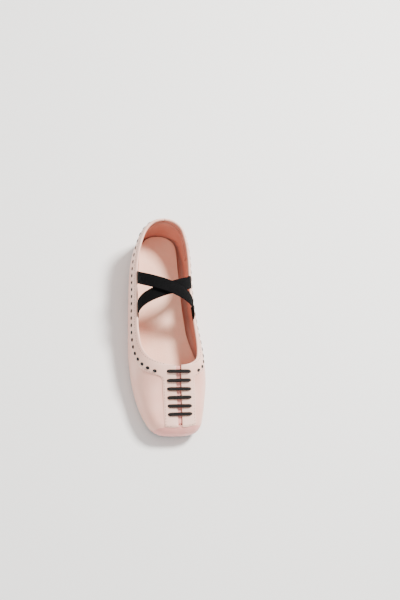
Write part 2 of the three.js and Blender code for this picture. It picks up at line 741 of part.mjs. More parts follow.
function eyeletRow(side) {
  const half = EYELET_TAPE_WIDTH / 2;
  const columns = columnsOf[side].slice(0, TAPE_COLUMNS)
    .map((column) => rowsBelow(column, [EYELET_INSET + half, EYELET_INSET - half]));
  const tape = toManifold(shell(columns, -TAPE_ROOM, -TAPE_SEAT));
  const seat = GAP + TAPE_ROOM - FACING_OUTER;
  const levels = [
    [EYELET_POST_RADIUS, TAPE_SEAT + EYELET_TAPE_THICKNESS / 2],
    [EYELET_POST_RADIUS, seat],
    [EYELET_FLANGE_RADIUS, seat],
    [EYELET_FLANGE_RADIUS, seat + EYELET_FLANGE_HEIGHT],
  ];
  return eyelets[side].reduce((all, { p, n }) => all.add(toManifold(post(p, n, POST_SIDES, levels))), tape);
}

const laceBarsAt = spread(0, LACE_BARS - 1, LACE_BARS - 1)
  .map((k) => throatAt + LACE_FIRST + k * LACE_PITCH);

// A point over (positive) or under the surface at an offset from the centre line.
function laceLevel(along, offset, height) {
  const x = centreX(along) + offset;
  return new THREE.Vector3(x, along, surfaceHeight(x, along) + height);
}

const UP = new THREE.Vector3(0, 0, 1);

function laceHoles(side) {
  return laceBarsAt
    .map((along) => laceLevel(along, side * LACE_HALF_SPAN, 0))
    .map((p) => toManifold(post(p, UP, 8, [[LACE_HOLE_RADIUS, -4], [LACE_HOLE_RADIUS, 4]])))
    .reduce((all, hole) => all.add(hole));
}

// ---------------------------------------------------------------- upper, facing, toe tip and lining

function addUppers() {
  SIDES.forEach((side) => {
    const columns = columnsOf[side].map(({ low, high }) => evenRows(side, low, high, UPPER_ROWS));
    const whole = toManifold(shell(columns, 0, UPPER_INNER, true));
    addPart(`upper_${sideName[side]}`, toGeometry(whole.subtract(laceHoles(side))), MATERIALS.satin);
  });
}

// The facing is as wide as its band and a little wider round the throat's corner and down the slit.
function facingWidth(i) {
  const past = smooth((i - TOPLINE_COLUMNS + 5) / 5);
  const corner = Math.exp(-(((i - TOPLINE_COLUMNS) / 1.8) ** 2));
  return FACING_WIDTH * (1 + 0.18 * past + 0.25 * corner);
}

// The facing's rows, and how far the middle ones stand up over the stay tape.
const overTape = [EYELET_INSET + EYELET_TAPE_WIDTH / 2 + 0.4, EYELET_INSET - EYELET_TAPE_WIDTH / 2 - 0.4];
function tapeRoom(row, i) {
  if (row < 1 || row > 2) return 0;
  return i < TAPE_COLUMNS ? TAPE_ROOM : 0.2;
}

function addFacings() {
  SIDES.forEach((side) => {
    const columns = columnsOf[side].slice(0, -1)
      .map((column, i) => rowsBelow(column, [facingWidth(i), ...overTape, 3.4, 0.4]));
    const outer = (p, row, i) => FACING_OUTER - tapeRoom(row, i);
    const inner = (p, row, i) => -GAP - tapeRoom(row, i);
    const whole = toManifold(shell(columns, outer, inner));
    const cut = whole.subtract(eyeletHoles(side)).subtract(laceHoles(side));
    addPart(`facing_${sideName[side]}`, toGeometry(cut), MATERIALS.satinFacing);
  });
}

function addToeTip() {
  const columns = acrossToe((side, t) => {
    const high = tipSeam(side, t, TIP_GAP);
    return clampedRows(side, high.x, 0, high.y);
  });
  addPart("toe_tip_panel", shell(columns, 0, UPPER_INNER, true), MATERIALS.satin);
}

// How much deeper the lining lies under the laced slit.
function laceRoom(p) {
  const aside = 1 - smooth((Math.abs(p.x - centreX(p.y)) - LACE_HALF_SPAN - 3) / 7);
  const from = smooth((p.y - throatAt) / 4);
  const last = laceBarsAt[LACE_BARS - 1];
  return LACE_ROOM * aside * from * (1 - smooth((p.y - last - 6) / 7));
}

// The lining shares the upper's columns as far as the toe tip seam's corner and then runs to the toe.
function liningColumns(side) {
  const back = columnsOf[side].slice(0, TOPLINE_COLUMNS + 1)
    .map((column) => evenRows(side, column.low, belowTop(column, 0.3), LINING_ROWS));
  const turnAt = mix(RIDGE_BACK, ridgeEndAt, outlineAt(side, TIP_SEAM_START).y / SHOE_LENGTH);
  const under = spread(throatAt, turnAt, SLIT_COLUMNS).slice(1).map((along, i) => {
    const { low } = columnsOf[side][TOPLINE_COLUMNS + 1 + i];
    return evenRows(side, low, project(side, ridgePoint(side, along, GAP / 2)), LINING_ROWS);
  });
  const toe = tipSteps.slice(1).map((t) => {
    return clampedRows(side, Math.min(1, mix(TIP_SEAM_START, 1, t) + TIP_GAP / outlines[side].total), 0, 1);
  });
  return [...back, ...under, ...toe];
}

function addLinings() {
  SIDES.forEach((side) => {
    const outer = (p) => LINING_OUTER + laceRoom(p);
    const inner = (p) => outer(p) + LINING_THICKNESS;
    addPart(`lining_${sideName[side]}`, shell(liningColumns(side), outer, inner), MATERIALS.lining);
  });
}

// ---------------------------------------------------------------- pieces between upper and lining

function addCounter() {
  const columns = acrossHeel(COUNTER_COLUMNS, ({ side, low, high }) => {
    const [foot, top] = [COUNTER_FROM, COUNTER_TO].map((t) => low.clone().lerp(high, t));
    return evenRows(side, foot, top, COUNTER_ROWS);
  });
  addPart("heel_counter", shell(columns, INTER_OUTER, INTER_INNER), MATERIALS.stiffener);
}

function addHeelGrip() {
  const depth = LINING_OUTER + LINING_THICKNESS + GAP;
  const columns = acrossHeel(GRIP_COLUMNS, (column, i) => {
    const fade = smooth((i - 2) / (GRIP_COLUMNS - 2));
    const low = column.low.clone().lerp(column.high, 0.4 + 0.1 * fade);
    return evenRows(column.side, low, belowTop(column, 5 + 3 * fade), 3);
  });
  addPart("heel_grip", shell(columns, depth, depth + GRIP_THICKNESS), MATERIALS.lining);
}

function addToePuff() {
  const columns = acrossToe((side, t) => {
    const { x, y } = tipSeam(side, t, TIP_GAP);
    return clampedRows(side, x, 1 / LINING_ROWS, Math.max(1 / LINING_ROWS, y - PUFF_DROP));
  }).slice(2, -2);
  addPart("toe_puff", shell(columns, INTER_OUTER, INTER_INNER), MATERIALS.stiffener);
}

function addTongue() {
  const depth = UPPER_INNER + GAP + 0.45;
  const rows = spread(throatAt + 6.5, slitEndAt - 1.5, 9);
  const grid = (height) => rows.map((along) => spread(-1, 1, 6)
    .map((t) => laceLevel(along, t * TONGUE_HALF_WIDTH, -height)));
  addPart("tongue", solidBetween(grid(depth), grid(depth + TONGUE_THICKNESS)), MATERIALS.satin);
}

// ---------------------------------------------------------------- lace

// A closed tube round a line of points; each ring lies in the plane that halves the bend.
function tube(points, radius, sides) {
  const tangents = points.map((p, i) => {
    const a = points[Math.max(0, i - 1)];
    const b = points[Math.min(points.length - 1, i + 1)];
    return b.clone().sub(a).normalize();
  });
  const seed = Math.abs(tangents[0].z) > 0.8 ? new THREE.Vector3(1, 0, 0) : new THREE.Vector3(0, 0, 1);
  let across = seed.cross(tangents[0]).normalize();
  const rings = points.map((p, i) => {
    if (i > 0) {
      const turn = new THREE.Quaternion().setFromUnitVectors(tangents[i - 1], tangents[i]);
      across = across.clone().applyQuaternion(turn).normalize();
    }
    const up = tangents[i].clone().cross(across);
    return spread(0, 1, sides).slice(0, -1).map((s) => {
      const angle = 2 * Math.PI * s;
      return p.clone()
        .addScaledVector(across, radius * Math.cos(angle))
        .addScaledVector(up, radius * Math.sin(angle));
    });
  });
  const positions = [...rings.flat(), points[0], points[points.length - 1]].flatMap((p) => p.toArray());
  const faces = [];
  const last = rings.length - 1;
  for (let k = 0; k < sides; k++) {
    const next = (k + 1) % sides;
    for (let i = 0; i < last; i++) {
      faces.push(i * sides + k, i * sides + next, (i + 1) * sides + next);
      faces.push(i * sides + k, (i + 1) * sides + next, (i + 1) * sides + k);
    }
    faces.push(rings.length * sides, next, k);
    faces.push(rings.length * sides + 1, last * sides + k, last * sides + next);
  }
  const geometry = new THREE.BufferGeometry();
  geometry.setAttribute("position", new THREE.Float32BufferAttribute(positions, 3));
  geometry.setIndex(faces);
  return facingOut(geometry);
}

// The route over each bar, down through its hole and forward under the upper to the next hole.
function laceRoute() {
  const over = LACE_REST + LACE_RADIUS - FACING_OUTER;
  const under = UPPER_INNER + GAP + LACE_RADIUS;
  const bend = 2;
  const route = [];
  const first = laceBarsAt[0];
  const last = laceBarsAt[LACE_BARS - 1];
  route.push(laceLevel(first + LACE_TAIL, -LACE_HALF_SPAN, -under));
  laceBarsAt.forEach((along, k) => {
    const from = k % 2 ? LACE_HALF_SPAN : -LACE_HALF_SPAN;
    const inward = -Math.sign(from);
    route.push(laceLevel(along + (k ? -bend : bend), from, -under));
    route.push(laceLevel(along + (k ? -0.6 : 0.6), from, -under + 0.7));
    route.push(laceLevel(along, from, -0.5));
    route.push(laceLevel(along, from, over - 1.7));
    route.push(laceLevel(along, from + inward * 0.7, over - 0.5));
    route.push(laceLevel(along, from + inward * bend, over));
    spread(from + inward * 5, -from - inward * 5, 3).forEach((x) => route.push(laceLevel(along, x, over)));
    route.push(laceLevel(along, -from - inward * bend, over));
    route.push(laceLevel(along, -from - inward * 0.7, over - 0.5));
    route.push(laceLevel(along, -from, over - 1.7));
    route.push(laceLevel(along, -from, -0.5));
    const onward = k === LACE_BARS - 1 ? -1 : 1;
    route.push(laceLevel(along + onward * 0.6, -from, -under + 0.7));
    route.push(laceLevel(along + onward * bend, -from, -under));
  });
  const end = LACE_BARS % 2 ? LACE_HALF_SPAN : -LACE_HALF_SPAN;
  route.push(laceLevel(last - LACE_TAIL, end, -under));
  return route;
}

function addLace() {
  addPart("lace", tube(laceRoute(), LACE_RADIUS, 6), MATERIALS.lace);
}

// ---------------------------------------------------------------- sole and insole layers

// The u at which an inset outline passes a distance from the heel.
function passing(side, inset, along) {
  let low = 0.02;
  let high = 0.98;
  for (let k = 0; k < 30; k++) {
    const middle = (low + high) / 2;
    if (insetPoint(side, middle, inset).y < along) low = middle;
    else high = middle;
  }
  return (low + high) / 2;
}

// A plate that follows the outline between two distances from the heel; null runs to the end.
function plate({ inset, from = null, to = null, rows, bottom, top }) {
  const ends = SIDES.map((side) => [
    from === null ? 0 : passing(side, inset, from),
    to === null ? 1 : passing(side, inset, to),
  ]);
  const across = 4;
  const grid = (height) => spread(0, 1, rows).map((t) => {
    const [a, b] = SIDES.map((side, k) => insetPoint(side, mix(ends[k][0], ends[k][1], t), inset));
    return spread(0, 1, across).map((w) => {
      const p = a.clone().lerp(b, w);
      return new THREE.Vector3(p.x, p.y, height(p.y, w));
    });
  });
  return solidBetween(grid(top), grid(bottom));
}

const overSole = (height) => (along) => soleHeight(along) + height;
const LAST_BOTTOM = OUTSOLE_THICKNESS + GAP;
const BOARD_BOTTOM = LAST_BOTTOM + FILLER_THICKNESS + GAP;
const BOARD_TOP = BOARD_BOTTOM + BOARD_THICKNESS;
const FADED_CUSHION = 0.5;

function cushionTop(along) {
  const fade = smooth((along - CUSHION_TO + CUSHION_FADE) / CUSHION_FADE);
  return soleHeight(along) + BOARD_TOP + GAP + mix(CUSHION_THICKNESS, FADED_CUSHION, fade);
}

function sockBottom(along) {
  const over = cushionTop(along) + GAP;
  const flat = soleHeight(along) + BOARD_TOP + GAP;
  return mix(over, flat, smooth((along - CUSHION_TO - 2) / 12));
}

function addSole() {
  const outsole = plate({
    inset: OUTSOLE_INSET,
    rows: 30,
    bottom: soleHeight,
    top: overSole(OUTSOLE_THICKNESS),
  });
  addPart("outsole", outsole, MATERIALS.rubber);
  const lift = plate({
    inset: LIFT_INSET,
    to: HEEL_LIFT_TO,
    rows: 12,
    bottom: () => 0,
    top: overSole(-GAP),
  });
  addPart("heel_lift", lift, MATERIALS.rubber);
  const filler = plate({
    inset: FEATHER_TUCK + LASTING_MARGIN + GAP,
    from: SHANK_TO + 6,
    rows: 16,
    bottom: overSole(LAST_BOTTOM),
    top: overSole(LAST_BOTTOM + FILLER_THICKNESS),
  });
  addPart("bottom_filler", filler, MATERIALS.foam);
}

function addShank() {
  const middle = (along) => (
    outlineAt(LATERAL, passing(LATERAL, 0, along)).x + outlineAt(MEDIAL, passing(MEDIAL, 0, along)).x) / 2;
  const grid = (height) => spread(SHANK_FROM, SHANK_TO, 14).map((along) => spread(-0.5, 0.5, 1)
    .map((w) => new THREE.Vector3(middle(along) + w * SHANK_WIDTH, along, soleHeight(along) + height)));
  addPart("shank", solidBetween(grid(LAST_BOTTOM + SHANK_THICKNESS), grid(LAST_BOTTOM)), MATERIALS.steel);
}

function addInsole() {
  const board = plate({
    inset: BED_INSET,
    rows: 30,
    bottom: overSole(BOARD_BOTTOM),
    top: overSole(BOARD_TOP),
  });
  addPart("insole_board", board, MATERIALS.board);
  const cushion = plate({
    inset: BED_INSET + 0.6,
    to: CUSHION_TO,
    rows: 18,
    bottom: overSole(BOARD_TOP + GAP),
    top: cushionTop,
  });
  addPart("cushion_pad", cushion, MATERIALS.foam);
  const sock = plate({
    inset: BED_INSET - 0.6,
    rows: 34,
    bottom: sockBottom,
    top: (along) => sockBottom(along) + SOCK_THICKNESS,
  });
  addPart("sock_lining", sock, MATERIALS.sock);
}

// ---------------------------------------------------------------- crossed straps

const STRAPS = {
  upper: {
    lateralAt: STRAP_REAR_AT - STRAP_STAGGER,
    medialAt: STRAP_FRONT_AT + 2,
    lift: STRAP_CROSS_GAP + STRAP_THICKNESS,
  },
  lower: { lateralAt: STRAP_FRONT_AT, medialAt: STRAP_REAR_AT, lift: 0 },
};

// The opening's edge at a distance from the heel: surface coordinates and point.
function edgeAt(side, along) {
  const points = edges[side].map((uv) => surfacePoint(side, uv.x, uv.y));
  const i = points.findIndex((p) => p.y > along);
  const t = (along - points[i - 1].y) / (points[i].y - points[i - 1].y);
  const uv = edges[side][i - 1].clone().lerp(edges[side][i], t);
  return { uv, p: surfacePoint(side, uv.x, uv.y) };
}

const strapSlant = ({ lateralAt, medialAt }) => Math.atan2(medialAt - lateralAt, 95);
const strapHalf = (strap) => STRAP_WIDTH / 2 / Math.cos(strapSlant(strap));

// The sewn end: between upper and lining, standing just out of the opening's edge.
function strapEnd(side, along, half) {
  const columns = spread(along - half, along + half, 4).map((at) => {
    const { uv } = edgeAt(side, at);
    const away = ({ high }) => Math.abs(high.x - uv.x);
    const nearest = columnsOf[side].reduce((a, b) => (away(b) < away(a) ? b : a));
    const slope = nearest.low.clone().sub(nearest.high);
    const column = { side, high: uv, low: uv.clone().add(slope) };
    const high = uv.clone().lerp(belowTop(column, STRAP_INSERT), -STRAP_STAND / STRAP_INSERT);
    return evenRows(side, belowTop(column, STRAP_INSERT), high, 2);
  });
  return shell(columns, INTER_OUTER, INTER_INNER);
}

// The free arch between two sewn ends; its ends are rounded so that it can lean.
function strapSpan(strap) {
  const half = strapHalf(strap);
  const depth = (INTER_OUTER + INTER_INNER) / 2;
  const footPoint = (side, along) => {
    const { uv, p } = edgeAt(side, along);
    return p.clone().addScaledVector(surfaceNormal(side, uv.x, uv.y), -depth);
  };
  const steps = 18;
  const line = (w, out) => {
    const a = footPoint(LATERAL, strap.lateralAt + w * half);
    const b = footPoint(MEDIAL, strap.medialAt + w * half);
    const clear = STRAP_STAND + STRAP_FREE_GAP + Math.abs(w) ** 2 * 1.1;
    return spread(0, 1, steps).map((t) => {
      const angle = mix(clear / STRAP_RISE, Math.PI - clear / STRAP_RISE, t);
      const middle = a.clone().lerp(b, (1 - Math.cos(angle)) / 2);
      const reach = a.distanceTo(b) / 2;
      const bow = -STRAP_BOW * Math.sin(2 * angle);
      const rise = STRAP_RISE * Math.sin(angle) + strap.lift * Math.sin(angle) ** 2;
      const along = mix(a.y, b.y, angle / Math.PI);
      const normal = new THREE.Vector3(-Math.cos(angle) / reach, 0, Math.sin(angle) / STRAP_RISE);
      normal.normalize();
      return new THREE.Vector3(middle.x + bow, along, middle.z + rise)
        .addScaledVector(normal, out);
    });
  };
  const grid = (out) => spread(-1, 1, 4).map((w) => line(w, out));
  return solidBetween(grid(STRAP_THICKNESS / 2), grid(-STRAP_THICKNESS / 2));
}

function addStraps() {
  Object.entries(STRAPS).forEach(([name, strap]) => {
    const half = strapHalf(strap);
    addPart(`strap_${name}`, strapSpan(strap), MATERIALS.elastic);
    addPart(`strap_${name}_end_lateral`, strapEnd(LATERAL, strap.lateralAt, half), MATERIALS.elastic);
    addPart(`strap_${name}_end_medial`, strapEnd(MEDIAL, strap.medialAt, half), MATERIALS.elastic);
  });
}

// ---------------------------------------------------------------- assembly

function addEyeletRows() {
  SIDES.forEach((side) => {
    addPart(`eyelet_row_${sideName[side]}`, toGeometry(eyeletRow(side)), MATERIALS.eyelet);
  });
}

// The finished slipper stands on z = 0 with its bounding box centred on the origin.
function centre() {
  const box = new THREE.Box3().setFromObject(group);
  const middle = box.getCenter(new THREE.Vector3());
  group.children.forEach((mesh) => mesh.geometry.translate(-middle.x, -middle.y, -box.min.z));
}

addUppers();
addFacings();
addToeTip();
addLinings();
addCounter();
addHeelGrip();
addToePuff();
addTongue();
addEyeletRows();
addLace();
addSole();
addShank();
addInsole();
addStraps();
centre();

export default group;
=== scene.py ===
import math

import bmesh
import bpy
import numpy as np
from mathutils import Matrix, Vector


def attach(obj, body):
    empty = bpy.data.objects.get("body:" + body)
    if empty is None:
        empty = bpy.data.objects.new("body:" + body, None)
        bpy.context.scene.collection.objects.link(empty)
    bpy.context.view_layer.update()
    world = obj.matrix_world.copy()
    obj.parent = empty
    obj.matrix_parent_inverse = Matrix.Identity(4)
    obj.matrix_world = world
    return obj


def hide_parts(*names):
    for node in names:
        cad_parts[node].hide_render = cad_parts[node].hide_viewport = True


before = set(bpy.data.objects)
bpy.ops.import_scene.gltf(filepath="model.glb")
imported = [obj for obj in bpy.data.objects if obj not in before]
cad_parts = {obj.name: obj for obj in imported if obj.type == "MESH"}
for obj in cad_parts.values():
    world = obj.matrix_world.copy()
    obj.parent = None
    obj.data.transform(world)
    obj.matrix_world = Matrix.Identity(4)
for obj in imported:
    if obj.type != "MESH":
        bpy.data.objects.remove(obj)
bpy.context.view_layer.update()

bl_info = {
    "name": "Ballet slipper",
    "version": (1, 0, 0),
    "blender": (4, 5, 0),
    "location": "View3D > Sidebar > Slipper",
    "description": "Satin ballet slipper with a laced toe and crossed elastic straps",
    "category": "Add Mesh",
}

# Lasted surface. Millimetres: x (medial positive), along (from the heel), z (up from the floor).
LATERAL, MEDIAL = -1, 1
SIDES = {LATERAL: "lateral", MEDIAL: "medial"}
LENGTH = 248.0
SHIFT = np.array([1.595, 0.121])
TOE_CENTRE_X = 4.5
THROAT_AT = 178.0
RIDGE_BACK, RIDGE_END = 38.0, LENGTH - 9.5
FEATHER_TUCK, FEATHER_WALL, WAIST_TUCK, MARGIN = 3.0, 9.0, 5.0, 4.5
WAIST_ROUNDING = 7
OUTSOLE, LAST_BOTTOM, BED = 2.6, 2.9, 6.1
HEEL_PITCH, TOE_SPRING = 4.5, 4.5  # rise of the heel seat and of the toe's tip
OUTSOLE_INSET, LIFT_INSET, LIFT_TO = 3.3, 3.6, 56
OUTLINE = [
    [0, 0], [-14, 3.2], [-24.6, 13], [-32, 31], [-37, 56], [-40, 86], [-42.4, 120], [-44, 150],
    [-43.6, 172], [-41.6, 193], [-37.5, 213], [-32, 229], [-26, 240], [-17, 246.4], [-6, 248],
    [TOE_CENTRE_X, 248.2], [14, 247.8], [23.5, 245], [29.6, 238], [33.3, 226], [37.2, 208],
    [40.2, 188], [40.7, 170], [37.8, 148], [33.4, 122], [31, 98], [30.6, 72], [30.6, 48],
    [28.6, 28], [23.6, 12], [13.4, 3]]
TOE_INDEX = 15
RIDGE = [[0, 75], [48, 65], [93, 55], [133, 51.5], [158, 49], [178, 46.5], [199, 37.04],
         [223.5, 30.16], [248, 25]]
TOPLINE = {
    LATERAL: [[-11.5, 9, 59], [-21.5, 25, 53.52], [-28.5, 52, 47.4], [-31, 88, 43],
              [-33.5, 118, 40], [-34.5, 138, 38.5], [-31.5, 155, 38], [-24, 168.5, 41],
              [-11.5, 176, 45]],
    MEDIAL: [[11.5, 9, 59], [20.5, 25, 53.88], [26.5, 52, 48.48], [28, 88, 44.5], [30, 118, 42],
             [31.3, 140, 40.5], [31, 156, 40], [26.5, 168.5, 41.5], [16.5, 176, 45]]}
TOPLINE_TURN, SLIT_TURN, TIP_TURN = 24, 29, 38  # column numbers: throat, toe seam corner, toe
TIP_SEAM_START, TIP_SEAM_INSET = 0.885, 8.0
SLIT_END = LENGTH - TIP_SEAM_INSET
TIP_LAP = 1.6  # how far the toe tip runs under the upper

# Layers, as depths inside the surface
UPPER = 0.8
FACING_OUT, FACING_IN = 0.95, 0.25
RIM_INNER = 1.85
LINING = 0.7
FACING_WIDTH = 15.0
EYELET_INSET, EYELET_PITCH, EYELETS = 9.6, 8.4, 25
EYELET_END = {LATERAL: 24.5, MEDIAL: 21.5}  # last eyelets' distance from the centre line
TONGUE_HALF, TONGUE_DEPTH = 6.8, 0.9
STITCH_PITCH, STITCH_SIZE = 3.2, np.array([0.95, 0.27, 0.2])
LACE_FLAT, LACE_ROUND = 1.95, 1.15  # half width of a bar that is pressed flat, and half height
LACE_BARS, LACE_PITCH, LACE_FIRST, LACE_HALF_SPAN, LACE_REST = 6, 8.8, 7.2, 11.4, 0.65
CUSHION_TO, CUSHION_FADE, CUSHION, SOCK, BED_INSET = 132.0, 26.0, 3.2, 0.9, 5.4
STRAP_WIDTH, STRAP_RISE, STRAP_CROSS, STRAP_BOW = 13.5, 22.0, 3.3, 3.5
STRAP_DEPTH = 1.5  # the straps' ends, between upper and lining
STRAP_ENDS = {"upper": {LATERAL: 72, MEDIAL: 115}, "lower": {LATERAL: 113, MEDIAL: 77}}


def clamp01(t):
    return np.clip(t, 0.0, 1.0)


def smooth(t):
    t = clamp01(t)
    return t * t * (3 - 2 * t)


def mix(a, b, t):
    return a + (b - a) * t


def unit(v):
    return v / np.maximum(np.linalg.norm(v, axis=-1, keepdims=True), 1e-12)


def curve(points, t, closed=False, power=0.5):
    """Catmull-Rom curve through points at t in 0..1: Hermite cubics whose knots are spaced by
    distance ** power (0.5 is centripetal, 0 is uniform)."""
    p = np.asarray(points, float)
    n = len(p)
    s = np.asarray(t, float) * (n if closed else n - 1)
    i = np.minimum(np.floor(s).astype(int), n - 1 if closed else n - 2)
    w = (s - i)[:, None]
    pick = (lambda k: p[(i + k) % n]) if closed else (lambda k: p[np.clip(i + k, 0, n - 1)])
    p0, p1, p2, p3 = pick(-1), pick(0), pick(1), pick(2)
    d = [np.linalg.norm(b - a, axis=1, keepdims=True) ** power for a, b in ((p0, p1), (p1, p2), (p2, p3))]
    d = [np.where(x < 1e-4, 1.0, x) for x in d]
    m1 = ((p1 - p0) / d[0] - (p2 - p0) / (d[0] + d[1]) + (p2 - p1) / d[1]) * d[1]
    m2 = ((p2 - p1) / d[1] - (p3 - p1) / (d[1] + d[2]) + (p3 - p2) / d[2]) * d[1]
    return (p1 + w * m1 + w ** 2 * (-3 * p1 + 3 * p2 - 2 * m1 - m2)
            + w ** 3 * (2 * p1 - 2 * p2 + m1 + m2))


def run_of(line):
    """Distance along a line of points, from its first point."""
    return np.concatenate([[0.0], np.cumsum(np.linalg.norm(np.diff(line, axis=0), axis=1))])


def evenly(line, count):
    """The line at count + 1 points that are equally far apart along it."""
    run = run_of(line)
    goal = np.linspace(0, run[-1], count + 1)
    return np.stack([np.interp(goal, run, line[:, k]) for k in range(line.shape[1])], 1)


RIDGE_LINE = curve(RIDGE, np.linspace(0, 1, 481), power=0)


def ridge_height(along):
    return np.interp(along, RIDGE_LINE[:, 0], RIDGE_LINE[:, 1])


def centre_x(along):
    return TOE_CENTRE_X * smooth((along / LENGTH - 0.2) / 0.7)


def sole_height(along):
    """Level heel seat, smooth drop through the waist, flat forepart, raised tip."""
    a = along / LENGTH
    return HEEL_PITCH * (1 - smooth((a - 0.26) / 0.34)) + TOE_SPRING * clamp01((a - 0.8) / 0.2) ** 2


def feather_height(along):
    return sole_height(along) + LAST_BOTTOM


def waist_tuck(along):
    return WAIST_TUCK * smooth(along / 50) * (1 - smooth((along - 120) / 55))


def half_outline(side):
    toe = TOE_INDEX / len(OUTLINE)
    t = np.linspace(0, 1, 1201)
    t = t * toe if side == LATERAL else 1 - t * (1 - toe)
    return evenly(curve(OUTLINE, t, closed=True), 240)


HALVES = {side: half_outline(side) for side in SIDES}
WHOLE = np.concatenate([HALVES[LATERAL], HALVES[MEDIAL][::-1]])


def outline_at(side, u):
    f = clamp01(np.asarray(u, float)) * 240
    return np.stack([np.interp(f, np.arange(241), HALVES[side][:, k]) for k in (0, 1)], -1)


def inward_at(side, u):
    step = 1.5 / 240
    t = unit(outline_at(side, u + step) - outline_at(side, u - step))
    n = np.stack([t[..., 1], -t[..., 0]], -1) * -side
    n = np.where((u <= 0)[..., None], [0.0, 1.0], n)
    return np.where((u >= 1)[..., None], [0.0, -1.0], n)


def inset_point(side, u, inset):
    edge = outline_at(side, u)
    reach = inset + clamp01(inset / FEATHER_TUCK) * waist_tuck(edge[..., 1])
    return edge + inward_at(side, u) * np.asarray(reach)[..., None]


def distance_in(xy):
    """Distance from each point to the outline, the nearest of all its straight pieces."""
    a, b = WHOLE, np.roll(WHOLE, -1, axis=0)
    d = b - a
    out = []
    for part in np.array_split(xy.reshape(-1, 2), max(1, xy.size // 8000)):
        gap = part[:, None] - a
        t = clamp01((gap * d).sum(-1) / np.maximum((d * d).sum(-1), 1e-9))
        out.append(np.sqrt(((gap - d * t[..., None]) ** 2).sum(-1).min(1)))
    return np.concatenate(out).reshape(xy.shape[:-1])


def rounding_at(along):
    a = along / LENGTH
    waist = smooth((a - 0.35) / 0.25) * (1 - smooth((a - 0.7) / 0.26))
    return mix(29, 9, smooth((a - 0.62) / 0.34)) + WAIST_ROUNDING * waist


def power_at(along):
    return mix(2.9, 2.05, smooth((along / LENGTH - 0.42) / 0.28))


def surface_height(x, along):
    """foot + (ridge - foot) * (1 - (1 - t) ** p) ** (1 / p), t = distance inside / rounding."""
    x, along = np.broadcast_arrays(np.asarray(x, float), np.asarray(along, float))
    foot = feather_height(along) + FEATHER_WALL
    t = clamp01(distance_in(np.stack([x, along], -1)) / rounding_at(along))
    p = power_at(along)
    return foot + (ridge_height(along) - foot) * (1 - (1 - t) ** p) ** (1 / p)


class Wall:
    """One side of the lasted surface, as a table over u (heel to toe) and v (feather to ridge)."""

    NU, NV = 180, 90

    def __init__(self, side):
        self.side = side
        u = np.linspace(0, 1, self.NU + 1)
        edge, inward = outline_at(side, u), inward_at(side, u)
        turn = np.linspace(0, math.pi / 2, 9)
        tuck = (FEATHER_TUCK + waist_tuck(edge[:, 1]))[:, None] * (1 - np.sin(turn))
        low = edge[:, None] + inward[:, None] * tuck[..., None]
        low_z = feather_height(low[..., 1]) + FEATHER_WALL * (1 - np.cos(turn))
        along = mix(RIDGE_BACK, RIDGE_END, edge[:, 1] / LENGTH)
        ridge = np.stack([centre_x(along), along], -1)
        reach = np.linalg.norm(edge - ridge, axis=1)
        bend = edge + inward * np.minimum(14, 0.4 * reach)[:, None]
        s = np.linspace(0, 1, 121)[:, None]
        grid = []
        for e, b, r in zip(edge, bend, ridge):
            plan = ((1 - s) ** 3 * e + 3 * (1 - s) ** 2 * s * b
                    + 3 * (1 - s) * s * s * mix(r, e, 0.3) + s ** 3 * r)
            run = run_of(plan)
            rounding = min(rounding_at(e[1]), run[-1])
            k = np.arange(1, 31) / 30
            steps = rounding * (1 - np.cos(k * math.pi / 2) ** (2 / power_at(e[1])))
            steps = np.concatenate([steps, mix(rounding, run[-1], np.arange(1, 11) / 10)])
            grid.append(np.stack([np.interp(steps, run, plan[:, c]) for c in (0, 1)], 1))
        grid = np.array(grid)
        z = surface_height(grid[..., 0], grid[..., 1])
        lines = np.concatenate([np.dstack([low, low_z]), np.dstack([grid, z])], axis=1)
        self.rows = np.array([evenly(line, self.NV) for line in lines])
        du, dv = np.gradient(self.rows, axis=0), np.gradient(self.rows, axis=1)
        du[0], du[-1] = (side, 0, 0), (-side, 0, 0)
        self.normals = unit(np.cross(du, dv) * side)

    def read(self, table, uv):
        """A table's value at (u, v), straight between its four nearest entries."""
        f = clamp01(uv) * [self.NU, self.NV]
        i = np.minimum(f.astype(int), [self.NU - 1, self.NV - 1])
        w = f - i
        a, b = i[..., 0], i[..., 1]
        wu, wv = w[..., :1], w[..., 1:]
        low = mix(table[a, b], table[a + 1, b], wu)
        return mix(low, mix(table[a, b + 1], table[a + 1, b + 1], wu), wv)

    def point(self, uv):
        return self.read(self.rows, uv)

    def normal(self, uv):
        return unit(self.read(self.normals, uv))

    def project(self, points):
        """(u, v) of the surface point nearest to each point: best table entry, then Newton steps."""
        points = np.atleast_2d(points)
        flat = self.rows.reshape(-1, 3)
        near = np.array([((flat - p) ** 2).sum(1).argmin() for p in points])
        uv = np.stack([near // (self.NV + 1) / self.NU, near % (self.NV + 1) / self.NV], -1).astype(float)
        step = np.array([[1e-3, 0], [0, 1e-3]])
        for _ in range(14):
            r = points - self.point(uv)
            d = [(self.point(clamp01(uv + e)) - self.point(clamp01(uv - e)))
                 / np.maximum((clamp01(uv + e) - clamp01(uv - e)).sum(-1, keepdims=True), 1e-9) for e in step]
            a, b, c = (d[0] ** 2).sum(-1), (d[0] * d[1]).sum(-1), (d[1] ** 2).sum(-1)
            det = np.maximum(a * c - b * b, 1e-9)
            p, q = (r * d[0]).sum(-1), (r * d[1]).sum(-1)
            uv = clamp01(uv + 0.7 * np.stack([(c * p - b * q) / det, (a * q - b * p) / det], -1))
        return uv


WALLS = {side: Wall(side) for side in SIDES}


def slit_half(along):
    """Half the slit's width, narrower toward the toe."""
    return mix(3.1, 2.3, clamp01((along - THROAT_AT) / (SLIT_END - THROAT_AT)))


def ridge_uv(side, along, offset):
    """Surface coordinates on top of the foot, at an offset from the centre line."""
    x = centre_x(along) + side * offset
    return WALLS[side].project(np.stack([x, along, surface_height(x, along)], -1))


